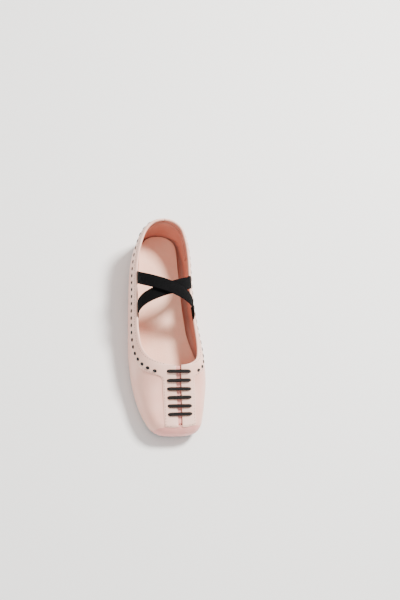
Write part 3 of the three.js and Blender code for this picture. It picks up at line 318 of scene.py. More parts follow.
def topline(side):
    """Surface coordinates of the opening's edge, back seam to the slit's corner."""
    middle = TOPLINE[side]
    front = [centre_x(THROAT_AT), THROAT_AT, 46.5]
    a, b = middle[0], middle[-1]
    points = [[-a[0], *a[1:]], [0, 5.5, 60], *middle, front, [2 * front[0] - b[0], *b[1:]]]
    n = len(points) - 1
    line = curve(points, (1 + (n - 2) * np.linspace(0, 1, 97)) / n)
    uv = WALLS[side].project(evenly(line, 96))
    uv[0, 0] = 0
    uv[-1] = ridge_uv(side, np.array([THROAT_AT]), slit_half(THROAT_AT))[0]
    return uv


def tip_seam(side, t, shift=0.0):
    """The toe seam: up from the sole at the toe's corner, then across the top."""
    u = mix(TIP_SEAM_START, 1, t)
    p = inset_point(side, u, TIP_SEAM_INSET)
    top = WALLS[side].project(np.stack([p[:, 0], p[:, 1], surface_height(p[:, 0], p[:, 1])], -1))[:, 1]
    rise = top * np.sin(math.pi / 2 * clamp01(t / 0.5))
    return np.stack([np.minimum(1, u + shift / 330), np.maximum(0, rise - shift / 40)], -1)


class Columns:
    """The upper's columns: c from 0 (back seam) over 24 (throat) and 29 (toe corner) to 38 (toe)."""

    def __init__(self, side):
        self.side, self.wall = side, WALLS[side]
        corner = outline_at(side, np.array([TIP_SEAM_START]))[0, 1]
        self.turn_at = mix(RIDGE_BACK, RIDGE_END, corner / LENGTH)
        self.edge = topline(side)
        feet = self.high(np.arange(0, SLIT_TURN + 1.0))[:, 0]
        feet[-1] = TIP_SEAM_START
        for _ in range(40):
            feet[1:-1] = (feet[:-2] + 2 * feet[1:-1] + feet[2:]) / 4
        self.feet = feet

    def high(self, c):
        """Upper ends of the columns: the opening's edge, then the slit's edge."""
        stations = np.linspace(0, TOPLINE_TURN, 97)
        edge = np.stack([np.interp(c, stations, self.edge[:, k]) for k in (0, 1)], -1)
        t = clamp01((c - SLIT_TURN) / (TIP_TURN - SLIT_TURN)) ** 1.5
        back = clamp01((c - TOPLINE_TURN) / (SLIT_TURN - TOPLINE_TURN))
        along = np.where(c <= SLIT_TURN, mix(THROAT_AT, self.turn_at, back), mix(self.turn_at, SLIT_END, t))
        slit = ridge_uv(self.side, along, slit_half(along))
        return np.where((c <= TOPLINE_TURN)[:, None], edge, slit)

    def low(self, c):
        """Lower ends of the columns: the feather edge, then the toe seam."""
        foot = np.stack([np.interp(c, np.arange(SLIT_TURN + 1), self.feet), 0 * c], -1)
        t = clamp01((c - SLIT_TURN) / (TIP_TURN - SLIT_TURN)) ** 1.5
        return np.where((c <= SLIT_TURN)[:, None], foot, tip_seam(self.side, t))

    def place(self, c, s, depth, low=None, high=None):
        """Points and normals at s mm below the top of columns c, depth mm inside the surface.
        s and depth are (rows, columns); where s is below 0 the column goes on straight."""
        low = self.low(c) if low is None else low
        high = self.high(c) if high is None else high
        k = np.linspace(0, 1, 81)[:, None, None]
        line = self.wall.point(mix(high, low, k))
        step = np.linalg.norm(np.diff(line, axis=0), axis=2)
        run = np.concatenate([np.zeros((1, len(c))), np.cumsum(step, axis=0)])
        w = np.stack([np.interp(np.maximum(s[:, j], 0), run[:, j], k[:, 0, 0]) for j in range(len(c))], 1)
        uv = mix(high, low, w[..., None])
        point, normal = self.wall.point(uv), self.wall.normal(uv)
        up = unit(line[0] - line[1])
        point = point + up * np.maximum(-s, 0)[..., None]
        return point - normal * np.asarray(depth)[..., None], normal

    def length(self, c):
        """Length of each column over the surface."""
        k = np.linspace(0, 1, 81)[:, None, None]
        line = self.wall.point(mix(self.high(c), self.low(c), k))
        return np.linalg.norm(np.diff(line, axis=0), axis=2).sum(0)


COLUMNS = {side: Columns(side) for side in SIDES}


# ------------------------------------------------------------------ meshes

def to_frame(p):
    """Millimetres of the slipper's own lines to metres of the shared frame."""
    x, along, z = np.moveaxis(np.asarray(p, float), -1, 0)
    return np.stack([x + SHIFT[0], LENGTH / 2 - along + SHIFT[1], z], -1) / 1000


def grid_faces(rows, columns, wrap_rows=False, wrap_columns=False, mask=None):
    """Quads between the points of a grid, closed round in either direction on request."""
    index = np.arange(rows * columns).reshape(rows, columns)
    if wrap_rows:
        index = np.vstack([index, index[:1]])
    if wrap_columns:
        index = np.hstack([index, index[:, :1]])
    quads = np.stack([index[:-1, :-1], index[:-1, 1:], index[1:, 1:], index[1:, :-1]], -1)
    return quads[mask] if mask is not None else quads.reshape(-1, 4)


def make_object(name, points, faces, material, uv=None):
    """A mesh of points (slipper millimetres) with outward faces; duplicate points are merged."""
    mesh = bpy.data.meshes.new(name)
    used = np.unique(faces)
    remap = np.zeros(len(points), int)
    remap[used] = np.arange(len(used))
    mesh.from_pydata(to_frame(points[used]).tolist(), [], remap[faces].tolist())
    if uv is not None:
        layer = mesh.uv_layers.new(name="UVMap")
        corners = np.array([v for p in mesh.polygons for v in p.vertices])
        layer.data.foreach_set("uv", (uv[used] / 1000)[corners].ravel().astype(np.float32))
    obj = bpy.data.objects.new(name, mesh)
    bpy.context.scene.collection.objects.link(obj)
    tidy_mesh(mesh)
    mesh.shade_smooth()
    mesh.materials.append(material)
    return obj


def tidy_mesh(mesh):
    """Merges points that coincide and turns all faces outward."""
    bm = bmesh.new()
    bm.from_mesh(mesh)
    bmesh.ops.remove_doubles(bm, verts=bm.verts, dist=2e-6)
    bmesh.ops.dissolve_degenerate(bm, edges=bm.edges, dist=1e-7)
    bmesh.ops.recalc_face_normals(bm, faces=bm.faces)
    bm.to_mesh(mesh)
    bm.free()


def thicken(points, normals, faces, outer, inner, uv, rings=3):
    """A closed sheet: points raised by outer and lowered by inner along the normals, joined round
    every free border by a half circle, centre + r * (outward * cos(a) + normal * sin(a))."""
    n = len(points)
    outer, inner = np.broadcast_to(outer, n)[:, None], np.broadcast_to(inner, n)[:, None]
    edges = np.concatenate([np.stack([faces[:, k], faces[:, (k + 1) % 4]], 1) for k in range(4)])
    edges = edges[edges[:, 0] != edges[:, 1]]
    code, back = edges[:, 0] * n + edges[:, 1], edges[:, 1] * n + edges[:, 0]
    border = edges[~np.isin(code, back)]
    tangent = np.zeros((n, 3))
    step = unit(points[border[:, 1]] - points[border[:, 0]])
    np.add.at(tangent, border[:, 0], step)
    np.add.at(tangent, border[:, 1], step)
    lip = np.unique(border)
    out = unit(np.cross(unit(tangent[lip]), normals[lip]))
    middle = points[lip] + normals[lip] * (outer - inner)[lip] / 2
    radius = (outer + inner)[lip] / 2
    first = np.full(n, -1)
    first[lip] = np.arange(len(lip))
    layers, loops = [points + normals * outer, points - normals * inner], [border]
    for k in range(1, rings + 1):
        a = math.pi / 2 - math.pi * k / (rings + 1)
        layers.append(middle + radius * (out * math.cos(a) + normals[lip] * math.sin(a)))
        loops.append(first[border] + 2 * n + (k - 1) * len(lip))
    loops.append(border + n)
    walls = [np.stack([p[:, 1], p[:, 0], q[:, 0], q[:, 1]], 1) for p, q in zip(loops[:-1], loops[1:])]
    all_uv = np.concatenate([uv, uv] + [uv[lip]] * rings)
    return np.concatenate(layers), np.concatenate([faces, faces[:, ::-1] + n, *walls]), all_uv


def grid_uv(points):
    """Distances over a grid of points, along its middle row and down its columns."""
    across = run_of(points[len(points) // 2])
    down = np.concatenate([np.zeros((1, points.shape[1])),
                           np.cumsum(np.linalg.norm(np.diff(points, axis=0), axis=2), axis=0)])
    return np.stack([np.broadcast_to(across, down.shape), down], -1).reshape(-1, 2)


def sheet_object(name, points, normals, outer, inner, material, mask=None, rings=3):
    """A rounded sheet over a (rows, columns) grid; mask leaves cells out."""
    rows, columns = points.shape[:2]
    faces = grid_faces(rows, columns, mask=mask)
    flat = lambda a: np.broadcast_to(a, (rows, columns)).ravel() if np.ndim(a) else a
    p, f, uv = thicken(points.reshape(-1, 3), normals.reshape(-1, 3), faces, flat(outer), flat(inner),
                       grid_uv(points), rings)
    return make_object(name, p, f, material, uv)


def keep_clear(points, side, room=0.45):
    """Holds a one-sided piece off the centre line at the back seam and under the slit."""
    limit = centre_x(points[..., 1]) + side * room
    points[..., 0] = np.where(side * (points[..., 0] - limit) < 0, limit, points[..., 0])
    return points


def tube_object(name, path, radius_a, radius_b, up, material, sides=16):
    """An elliptic tube: path + a * cos(k) * across + b * sin(k) * lift, closed by rounded ends."""
    tangent = unit(np.gradient(path, axis=0))
    across = unit(np.cross(np.broadcast_to(up, path.shape), tangent))
    lift = np.cross(tangent, across)
    a = np.linspace(0, 2 * math.pi, sides, endpoint=False)
    ring = (np.cos(a)[None, :, None] * across[:, None] * radius_a
            + np.sin(a)[None, :, None] * lift[:, None] * radius_b)
    body = path[:, None] + ring
    caps = []
    for end, way in ((0, -1), (-1, 1)):
        caps.append([path[end] + way * tangent[end] * radius_b * k + ring[end] * math.sqrt(max(0, 1 - k * k))
                     for k in (0.35, 0.7, 0.92, 1.0)])
    body = np.concatenate([np.array(caps[0])[::-1], body, np.array(caps[1])])
    run = run_of(body.mean(1))
    uv = np.stack(np.broadcast_arrays(run[:, None], a[None, :] / (2 * math.pi) * 10), -1).reshape(-1, 2)
    faces = grid_faces(*body.shape[:2], wrap_columns=True)
    return make_object(name, body.reshape(-1, 3), faces, material, uv)


def ellipsoids(name, centres, runs, normals, sizes, material):
    """Small rounded bodies, one at each centre: size along the run, across it and outward."""
    rows, sides = 7, 10
    th, ph = np.linspace(0, math.pi, rows)[:, None], np.linspace(0, 2 * math.pi, sides, endpoint=False)
    ball = np.stack([np.cos(th) * np.ones(sides), np.sin(th) * np.cos(ph), np.sin(th) * np.sin(ph)], -1)
    ball = ball.reshape(-1, 3) * sizes
    across = unit(np.cross(normals, runs))
    basis = np.stack([runs, across, normals], 1)
    points = centres[:, None] + np.einsum("bk,nkj->nbj", ball, basis)
    faces = grid_faces(rows, sides, wrap_columns=True)
    faces = (faces[None] + np.arange(len(centres))[:, None, None] * len(ball)).reshape(-1, 4)
    return make_object(name, points.reshape(-1, 3), faces, material)


def ride(obj, body, slot, *nodes):
    """Fixes a piece to a body and hides the solids that it stands for; slot is not used."""
    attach(obj, body)
    if nodes:
        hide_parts(*nodes)
    return obj


# ------------------------------------------------------------------ materials

class Value:
    """A number inside a shader; arithmetic on it adds Math nodes."""

    def __init__(self, shader, socket):
        self.shader, self.socket = shader, socket

    def math(self, operation, *items):
        sockets = dict(enumerate(items))
        return Value(self.shader, self.shader.node("ShaderNodeMath", {"operation": operation}, sockets))

    def __add__(self, other):
        return self.math("ADD", self, other)

    def __radd__(self, other):
        return self.math("ADD", other, self)

    def __sub__(self, other):
        return self.math("SUBTRACT", self, other)

    def __rsub__(self, other):
        return self.math("SUBTRACT", other, self)

    def __mul__(self, other):
        return self.math("MULTIPLY", self, other)

    def __rmul__(self, other):
        return self.math("MULTIPLY", other, self)

    def __truediv__(self, other):
        return self.math("DIVIDE", self, other)

    def __rtruediv__(self, other):
        return self.math("DIVIDE", other, self)

    def __pow__(self, other):
        return self.math("POWER", self, other)

    def __rpow__(self, other):
        return self.math("POWER", other, self)

    def sin(self):
        return self.math("SINE", self)

    def abs(self):
        return self.math("ABSOLUTE", self)

    def clamped(self):
        return self.math("MINIMUM", self.math("MAXIMUM", self, 0.0), 1.0)


MIX_FACTOR, MIX_A, MIX_B, MIX_RESULT = 0, 6, 7, 2  # the colour mix node's sockets


class Shader:
    """A principled material and the nodes that vary it over the surface."""

    def __init__(self, name, roughness=0.5, metallic=0.0, **constants):
        self.material = bpy.data.materials.new(name)
        self.material.use_nodes = True
        self.tree = self.material.node_tree
        self.surface = self.tree.nodes["Principled BSDF"]
        self.surface.inputs["Roughness"].default_value = roughness
        self.surface.inputs["Metallic"].default_value = metallic
        for key, value in constants.items():
            self.surface.inputs[key.replace("_", " ")].default_value = value

    def feed(self, slot, item):
        """Gives a socket a value, a number of this shader or another node's output."""
        if isinstance(item, Value):
            self.tree.links.new(item.socket, slot)
        elif isinstance(item, bpy.types.NodeSocket):
            self.tree.links.new(item, slot)
        else:
            slot.default_value = item

    def node(self, kind, settings=None, sockets=None, output=0):
        """A node of a kind with its settings and sockets; returns one of its outputs."""
        node = self.tree.nodes.new(kind)
        for key, value in (settings or {}).items():
            setattr(node, key, value)
        for key, item in (sockets or {}).items():
            self.feed(node.inputs[key], item)
        return node.outputs[output]

    def place(self, scale=(1, 1, 1), source="Object"):
        """Coordinates of the piece, stretched by scale."""
        where = self.node("ShaderNodeTexCoord", output=source)
        return self.node("ShaderNodeVectorMath", {"operation": "MULTIPLY"}, {0: where, 1: scale})

    def axis(self, vector, k):
        return Value(self, self.node("ShaderNodeSeparateXYZ", None, {0: vector}, k))

    def noise(self, vector, scale, detail=3.0, rough=0.5):
        sockets = {"Vector": vector, "Scale": scale, "Detail": detail, "Roughness": rough}
        return Value(self, self.node("ShaderNodeTexNoise", None, sockets, "Fac"))

    def colour(self, a, b, factor):
        """Base colour between a and b by factor."""
        sockets = {MIX_FACTOR: factor, MIX_A: (*a, 1), MIX_B: (*b, 1)}
        self.feed(self.surface.inputs["Base Color"],
                  self.node("ShaderNodeMix", {"data_type": "RGBA"}, sockets, MIX_RESULT))

    def bump(self, height, distance, strength=1.0):
        sockets = {"Height": height, "Distance": distance, "Strength": strength}
        self.feed(self.surface.inputs["Normal"], self.node("ShaderNodeBump", None, sockets))

    def rough(self, value):
        self.feed(self.surface.inputs["Roughness"], value)


def srgb(r, g, b):
    """A display colour, 0 to 255 a channel, as scene-linear values."""
    c = np.array([r, g, b]) / 255
    return tuple(float(x) for x in np.where(c <= 0.04045, c / 12.92, ((c + 0.055) / 1.055) ** 2.4))


SATIN_WEAVE = 9000  # radians of weave to the metre
CORD_PITCH, PICK_PITCH = 0.00095, 0.0011  # elastic
STRAND_PITCH, STRAND_TURN = 0.0016, 0.0033333  # braid


def satin(name, dark, light, roughness):
    """Satin: soft cloudy tone, long shallow waves and a fine slanted weave."""
    s = Shader(name, roughness, Sheen_Weight=0.25, Sheen_Roughness=0.45, Specular_IOR_Level=0.42)
    where = s.place()
    cloud = s.noise(where, 32, 2)
    s.colour(dark, light, ((cloud - 0.3) * 2.4).clamped())
    x, y, z = (s.axis(where, k) for k in range(3))
    weave = ((x + y + z) * SATIN_WEAVE).sin() * ((x - y) * SATIN_WEAVE).sin()
    long = s.noise(s.place((40, 14, 40)), 1.0, 2)
    s.bump(weave * 0.03 + long * 0.9 + s.noise(where, 420, 2) * 0.06, 0.0012, 0.55)
    s.rough(roughness - 0.05 + 0.12 * cloud)
    return s.material


def leather(name, dark, light, roughness, grain=900, depth=0.00025):
    """Leather: mottled tone and pebbled grain."""
    s = Shader(name, roughness, Specular_IOR_Level=0.35)
    where = s.place()
    tone = s.noise(where, 45, 4, 0.6)
    s.colour(dark, light, ((tone - 0.3) * 2.2).clamped())
    sockets = {"Vector": where, "Scale": grain}
    cells = Value(s, s.node("ShaderNodeTexVoronoi", {"feature": "SMOOTH_F1"}, sockets))
    s.bump(cells * 0.7 + s.noise(where, 60, 2) * 1.6, depth, 0.6)
    s.rough(roughness - 0.06 + 0.14 * tone)
    return s.material


def elastic(name):
    """Woven elastic: raised lengthwise cords crossed by fine picks."""
    s = Shader(name, 0.85, Specular_IOR_Level=0.08)
    uv = s.place(source="UV")
    cords = (s.axis(uv, 1) * (2 * math.pi / CORD_PITCH)).sin().abs()
    picks = (s.axis(uv, 0) * (2 * math.pi / PICK_PITCH)).sin()
    tone = cords * 0.6 + picks * 0.15 + s.noise(s.place(), 300, 2) * 0.35
    s.colour(srgb(3, 3, 4), srgb(15, 15, 16), tone.clamped())
    s.bump(cords + picks * 0.35, 0.00022, 0.8)
    return s.material


def braid(name):
    """Braided cord: two sets of slanted strands that cross."""
    s = Shader(name, 0.5, Specular_IOR_Level=0.3)
    uv = s.place(source="UV")
    along = s.axis(uv, 0) * (2 * math.pi / STRAND_PITCH)
    around = s.axis(uv, 1) * (2 * math.pi / STRAND_TURN)
    strands = (along + around).sin() * (along - around).sin()
    s.colour(srgb(3, 2, 2), srgb(20, 13, 11), ((strands + 1) * 0.5).clamped())
    s.bump(strands, 0.00025, 0.8)
    return s.material


def plain(name, dark, light, roughness, scale=120, depth=0.0001, metallic=0.0, stretch=(1, 1, 1)):
    """Plain finish with a mottled tone, a little relief and uneven roughness."""
    s = Shader(name, roughness, metallic)
    tone = s.noise(s.place(stretch), scale, 4, 0.6)
    s.colour(dark, light, ((tone - 0.3) * 2.4).clamped())
    s.bump(tone, depth)
    s.rough(roughness - 0.07 + 0.14 * tone)
    return s.material


MATERIALS = {}


def make_materials():
    MATERIALS.update({
        "satin": satin("satin", srgb(240, 176, 157), srgb(250, 197, 178), 0.38),
        "facing": satin("facing", srgb(243, 190, 170), srgb(251, 206, 187), 0.4),
        # the satin darkened: painted shade for the downward-facing toe tip and for the tongue down in the
        # slit
        "satin_painted_shade": satin("satin_painted_shade", srgb(228, 150, 141), srgb(237, 168, 157), 0.4),
        "lining": leather("lining", srgb(206, 136, 117), srgb(221, 158, 139), 0.58),
        "sock": leather("sock", srgb(250, 192, 165), srgb(255, 209, 183), 0.55),
        "elastic": elastic("elastic"),
        "lace": braid("lace"),
        "eyelet": plain("eyelet", srgb(10, 10, 11), srgb(22, 21, 22), 0.3, metallic=0.4),
        "rubber": plain("rubber", srgb(30, 27, 27), srgb(44, 40, 39), 0.6, 400, 0.0002),
        "board": plain("board", srgb(160, 134, 100), srgb(196, 170, 134), 0.9, 500, 0.0002),
        "steel": plain("steel", srgb(150, 152, 155), srgb(186, 188, 190), 0.4, 900, 0.00005, 1.0,
                       (1, 0.05, 1)),
        "foam": plain("foam", srgb(232, 224, 205), srgb(246, 240, 226), 0.95, 1500, 0.0003),
        "stiffener": plain("stiffener", srgb(205, 192, 174), srgb(228, 217, 202), 0.9, 600, 0.0002),
        # thread, its colour darkened well below the satin's: real thread plus painted shade of the stitch
        # holes round it
        "thread_and_hole_shade": plain("thread_and_hole_shade", srgb(138, 90, 78), srgb(158, 108, 94), 0.6, 2000, 0.00005),
    })


# ------------------------------------------------------------------ the slipper's pieces

def plate_grid(inset, rows, across, to=None):
    """Plan points of a plate inside the outline: side points joined across, (rows, across)."""
    ends = []
    for side in SIDES:
        u = np.linspace(0, 1, 2001)
        y = inset_point(side, u, np.full(u.shape, float(inset)))[:, 1]
        ends.append(1.0 if to is None else float(u[np.argmax((y > to) | (u > 0.97))]))
    ease = (1 - np.cos(np.linspace(0, math.pi, rows + 1))) / 2
    t = mix(0.003, 0.997, mix(np.linspace(0, 1, rows + 1), ease, 0.6))
    a, b = (inset_point(side, t * end, np.full(t.shape, float(inset))) for side, end in zip(SIDES, ends))
    w = (1 - np.cos(np.linspace(0, math.pi, across + 1))) / 2
    return mix(a[:, None], b[:, None], w[None, :, None])


def plate(name, inset, bottom, top, material, rows=120, across=24, to=None):
    """A plate between two heights over a plan grid, with a rounded border."""
    xy = plate_grid(inset, rows, across, to)
    low, high = bottom(xy[..., 0], xy[..., 1]), top(xy[..., 0], xy[..., 1])
    points = np.dstack([xy, (low + high) / 2])
    half = (high - low) / 2
    normals = np.zeros_like(points)
    normals[..., 2] = 1
    half = half[:, ::-1]
    return sheet_object(name, points[:, ::-1], normals, half, half, material)


def cushion_top(along):
    fade = smooth((along - CUSHION_TO + CUSHION_FADE) / CUSHION_FADE)
    return sole_height(along) + BED + 0.3 + mix(CUSHION, 0.5, fade)


def sock_bottom(x, along):
    """Over the pad, whose front edge bows forward on the medial side, and cupped at its border."""
    bow = along - 6 * np.sin(clamp01((x + 30) / 60) * math.pi)
    over = cushion_top(bow) + 0.3
    flat = sole_height(along) + BED + 0.3
    cup = smooth(1 - distance_in(np.stack([x, along], -1)) / 17) * (1 - smooth((along - 200) / 30))
    arch = smooth((x - 4) / 22) * np.exp(-((along - 100) / 42) ** 2)
    return mix(over, flat, smooth((bow - CUSHION_TO + 4) / 14)) + 1.2 * cup + 2.6 * arch


def build_sole():
    """The outsole, an even layer under the sole line, and the lift, from the floor up to it."""
    m = MATERIALS["rubber"]
    flat = lambda h: (lambda x, a: sole_height(a) + h)
    ride(plate("outsole_shaped", OUTSOLE_INSET, flat(0), flat(OUTSOLE), m), "slipper", "rubber", "outsole")
    ride(plate("heel_lift_shaped", LIFT_INSET, lambda x, a: 0 * a, flat(-0.02), m, rows=60, to=LIFT_TO),
         "slipper", "rubber", "heel_lift")


def build_insole():
    """The sock lining over the bed and the padded cushion under its heel and arch."""
    top = lambda x, a: sock_bottom(x, a) + SOCK
    ride(plate("sock_lining_soft", BED_INSET - 0.4, sock_bottom, top, MATERIALS["sock"], rows=200, across=44),
         "slipper", "sock", "sock_lining")
    pad = plate("cushion_soft", BED_INSET + 0.8, lambda x, a: sole_height(a) + BED + 0.3,
                lambda x, a: cushion_top(a), MATERIALS["foam"], rows=80, to=CUSHION_TO)
    ride(pad, "slipper", "foam", "cushion_pad")
    setting("pad_fill")


def puckers(uv):
    """Small pleats over the feather edge, deeper round the toe: two sine waves along u under a bell
    curve of v, and a long soft wave over the rest."""
    toe = smooth((uv[..., 0] - 0.55) / 0.3)
    wave = np.sin(uv[..., 0] * 300) + 0.6 * np.sin(uv[..., 0] * 471 + 1.3)
    soft = np.sin(uv[..., 0] * 34 + 5 * uv[..., 1]) * np.sin(uv[..., 1] * 3.1 * math.pi) * 0.22
    pleats = (0.05 + 0.10 * toe) * wave * np.exp(-((uv[..., 1] - 0.05) / 0.10) ** 2)
    return pleats + soft * smooth(uv[..., 1] * 3)


def lasted(side, uv, ripple=0.0):
    """Outer points and normals on the surface; v below 0 turns under the last."""
    wall = WALLS[side]
    point, normal = wall.point(uv), wall.normal(uv)
    v = uv[..., 1]
    under = inset_point(side, uv[..., 0], FEATHER_TUCK - np.minimum(v, 0) * MARGIN)
    flat = np.dstack([under, feather_height(under[..., 1])])
    low = (v < 0)[..., None]
    point = np.where(low, flat, point + normal * (ripple * puckers(uv))[..., None])
    down = np.array([0.0, 0.0, -1.0])
    turn = clamp01(1 + v * 3)[..., None]
    return point, np.where(low, unit(mix(down, normal, turn)), normal)


def margin_rows(low, high, rows):
    """(rows + 4, columns, 2) coordinates: three rows of margin, then even rows from low to high."""
    v = np.linspace(0, 1, rows + 1)
    v = mix(v, (1 - np.cos(v * math.pi)) / 2, 0.35)[:, None, None]
    body = mix(low[None], high[None], v)
    under = np.stack([np.stack([low[:, 0], np.full(len(low), t)], -1) for t in (-1.0, -0.6, -0.25)])
    return np.concatenate([under, body])


def build_upper():
    """Both halves of the satin: the lasted surface from the margin under the last to the opening."""
    for side, word in SIDES.items():
        cols = COLUMNS[side]
        c = np.concatenate([np.linspace(0, TOPLINE_TURN, 121), np.linspace(TOPLINE_TURN, SLIT_TURN, 21)[1:],
                            np.linspace(SLIT_TURN, TIP_TURN, 31)[1:]])
        uv = margin_rows(cols.low(c), cols.high(c), 40)
        point, normal = lasted(side, uv, 1.0)
        mask = np.ones((uv.shape[0] - 1, len(c) - 1), bool)
        mask[:3, c[:-1] >= SLIT_TURN] = False
        point = keep_clear(point, side, 0.3)
        order = slice(None) if side == LATERAL else slice(None, None, -1)
        obj = sheet_object(f"upper_{word}_satin", point[:, order], normal[:, order], 0.0, UPPER,
                           MATERIALS["satin"], mask[:, order])
        ride(obj, "slipper", "satin", f"upper_{word}")
    build_toe_tip()


def build_toe_tip():
    """The toe's own panel: the lasted surface below the toe seam, gathered along it by a sine wave
    that fades downward, and sunk under the upper where they lap."""
    parts = []
    for side in SIDES:
        t = np.concatenate([np.linspace(0.03, 0.3, 30), np.linspace(0.3, 1, 76)[1:]])
        high = tip_seam(side, t, -TIP_LAP)
        low = np.stack([high[:, 0], 0 * t], -1)
        uv = margin_rows(low, high, 56)
        point, normal = lasted(side, uv, 0.6)
        below = np.concatenate([np.cumsum(np.linalg.norm(np.diff(point, axis=0), axis=2)[::-1], axis=0)[::-1],
                                np.zeros((1, len(t)))])
        tuck = (UPPER + 0.05) * smooth((TIP_LAP + 0.8 - below) / 0.6)
        gather = 0.14 * np.sin(uv[..., 0] * 1150) * np.exp(-((below - TIP_LAP) / 3.2) ** 2)
        parts.append((point + normal * (gather - tuck)[..., None], normal))
    point = np.concatenate([parts[0][0], parts[1][0][:, -2::-1]], axis=1)
    normal = np.concatenate([parts[0][1], parts[1][1][:, -2::-1]], axis=1)
    # painted shade: the toe tip takes the darkened satin for the shade of its downward face
    obj = sheet_object("toe_tip_satin", point, normal, 0.0, UPPER, MATERIALS["satin_painted_shade"])
    ride(obj, "slipper", "satin", "toe_tip_panel")


def facing_width(side, c):
    """Width of the band down each column: to where the free edge, the opening's and the slit's
    together, is FACING_WIDTH away."""
    cols = COLUMNS[side]
    edge = np.concatenate([cols.wall.point(cols.edge), cols.wall.point(cols.high(np.linspace(24, 38, 60)))])
    s = np.repeat(np.linspace(0, 60, 181)[:, None], len(c), 1)
    point, _ = cols.place(c, s, 0 * s)
    near = np.array([np.sqrt(((row[:, None] - edge) ** 2).sum(-1)).min(1) for row in point])
    far = near > FACING_WIDTH
    width = np.where(far.any(axis=0), s[np.argmax(far, axis=0), 0], s[-1, 0])
    width = np.minimum(width, cols.length(c) - 0.3)
    for _ in range(6):
        width[1:-1] = (width[:-2] + 2 * width[1:-1] + width[2:]) / 4
    return width


def facing_section(side, c):
    """Closed section of the band: distances below the edge and depths, (points, columns)."""
    w = facing_width(side, c)
    slit = smooth((c - TOPLINE_TURN + 0.8) / 1.2)
    rim = mix((RIM_INNER + FACING_OUT) / 2, 0.85, slit)
    centre = mix((RIM_INNER - FACING_OUT) / 2, 0.0, slit)
    s, d = [], []
    for t in np.linspace(0, 1, 15):
        s.append(mix(w, 1.6, t))
        thin = 0.42 * (1 - smooth((w - s[-1]) / 2.6))
        d.append(-FACING_OUT - 0.28 * np.sin(math.pi * t) ** 0.7 + thin + mix(0, 0.1, slit))
    for a in np.linspace(0, math.pi, 13):
        s.append(rim * 0.95 - rim * 1.35 * np.sin(a))
        d.append(centre - rim * np.cos(a))
    inner = centre + rim
    s += [rim * 0 + 3.0, rim * 0 + 3.2, rim * 0 + 2.9, rim * 0 + 1.4]
    d += [inner - 0.02, inner - 0.25, inner - 0.5, inner - 0.75]
    s += [rim * 0 + 1.2, mix(w, 1.6, 0.5), w - 0.1, w + 0.14]
    d += [rim * 0 - FACING_IN * 0.2, rim * 0 - FACING_IN, rim * 0 - FACING_IN + 0.15, rim * 0 - 0.3]
    return np.array(s), np.array(d)


def build_facing():
    """The padded band: its closed section swept along the columns, with a centred point at both ends."""
    for side, word in SIDES.items():
        cols = COLUMNS[side]
        c = np.concatenate([np.linspace(0, 20, 101), np.linspace(20, 28, 81)[1:],
                            np.linspace(28, 37.4, 45)[1:]])
        s, d = facing_section(side, c)
        point, _ = cols.place(c, s, d)
        point = keep_clear(point, side, 0.12)
        last = c > TOPLINE_TURN + 1.5
        floor = slit_half(point[..., 1]) - 0.1
        off = side * (point[..., 0] - centre_x(point[..., 1]))
        point[..., 0] += np.where(last[None, :] & (off < floor), side * (floor - off), 0)
        ends = [np.broadcast_to(point[:, k].mean(0), point[:, k].shape) for k in (0, -1)]
        inset = [mix(e, point[:, k], 0.7) for e, k in zip(ends, (0, -1))]
        body = np.concatenate([ends[0][:, None], inset[0][:, None], point, inset[1][:, None],
                               ends[1][:, None]], axis=1)
        uv = grid_uv(body)
        obj = make_object(f"facing_{word}_band", body.reshape(-1, 3),
                          grid_faces(*body.shape[:2], wrap_rows=True), MATERIALS["facing"], uv)
        ride(obj, "slipper", "facing", f"facing_{word}")


def lining_depth(s):
    """Depth of the lining's outer face: it closes up to the facing near the edge."""
    return mix(1.05, 2.2, smooth((s - 3.5) / 6))


def build_lining():
    """Both halves of the lining: the upper's columns, deeper inside, with room under the lace."""
    for side, word in SIDES.items():
        cols = COLUMNS[side]
        c1 = np.linspace(0, TOPLINE_TURN, 97)
        c2 = np.linspace(TOPLINE_TURN, SLIT_TURN, 17)[1:]
        low = np.concatenate([cols.low(c1), cols.low(c2)])
        along = mix(THROAT_AT, cols.turn_at, (c2 - TOPLINE_TURN) / (SLIT_TURN - TOPLINE_TURN))
        high = np.concatenate([cols.high(c1), ridge_uv(side, along, 0.45)])
        t = np.linspace(0, 1, 25)[1:]
        u = np.minimum(1, mix(TIP_SEAM_START, 1, t))
        low = np.concatenate([low, np.stack([u, 0 * u], -1)])
        high = np.concatenate([high, np.stack([u, 0 * u + 1], -1)])
        v = np.linspace(0, 1, 41)[:, None, None]
        uv = mix(low[None], high[None], v)
        point, normal = cols.wall.point(uv), cols.wall.normal(uv)
        step = np.linalg.norm(np.diff(point, axis=0), axis=2)
        below = np.concatenate([np.cumsum(step[::-1], axis=0)[::-1], np.zeros((1, point.shape[1]))])
        open_part = (np.arange(point.shape[1]) < len(c1) + 2)[None, :]
        aside = np.abs(point[..., 0] - centre_x(point[..., 1])) - LACE_HALF_SPAN
        lace_room = 1.7 * (1 - smooth((aside - 3) / 7))
        lace_room *= smooth((point[..., 1] - THROAT_AT) / 4) * (1 - smooth((point[..., 1] - 235) / 7))
        depth = np.where(open_part, lining_depth(below), 2.2) + lace_room
        sag = np.where(open_part, smooth((2.0 - below) / 2.0) * 1.0, 0)
        point = point - normal * depth[..., None]
        point[..., 2] -= sag
        point = keep_clear(point, side, 0.12)
        order = slice(None) if side == LATERAL else slice(None, None, -1)
        obj = sheet_object(f"lining_{word}_leather", point[:, order], normal[:, order], 0.0, LINING,
                           MATERIALS["lining"])
        ride(obj, "slipper", "lining", f"lining_{word}")
    build_grip()


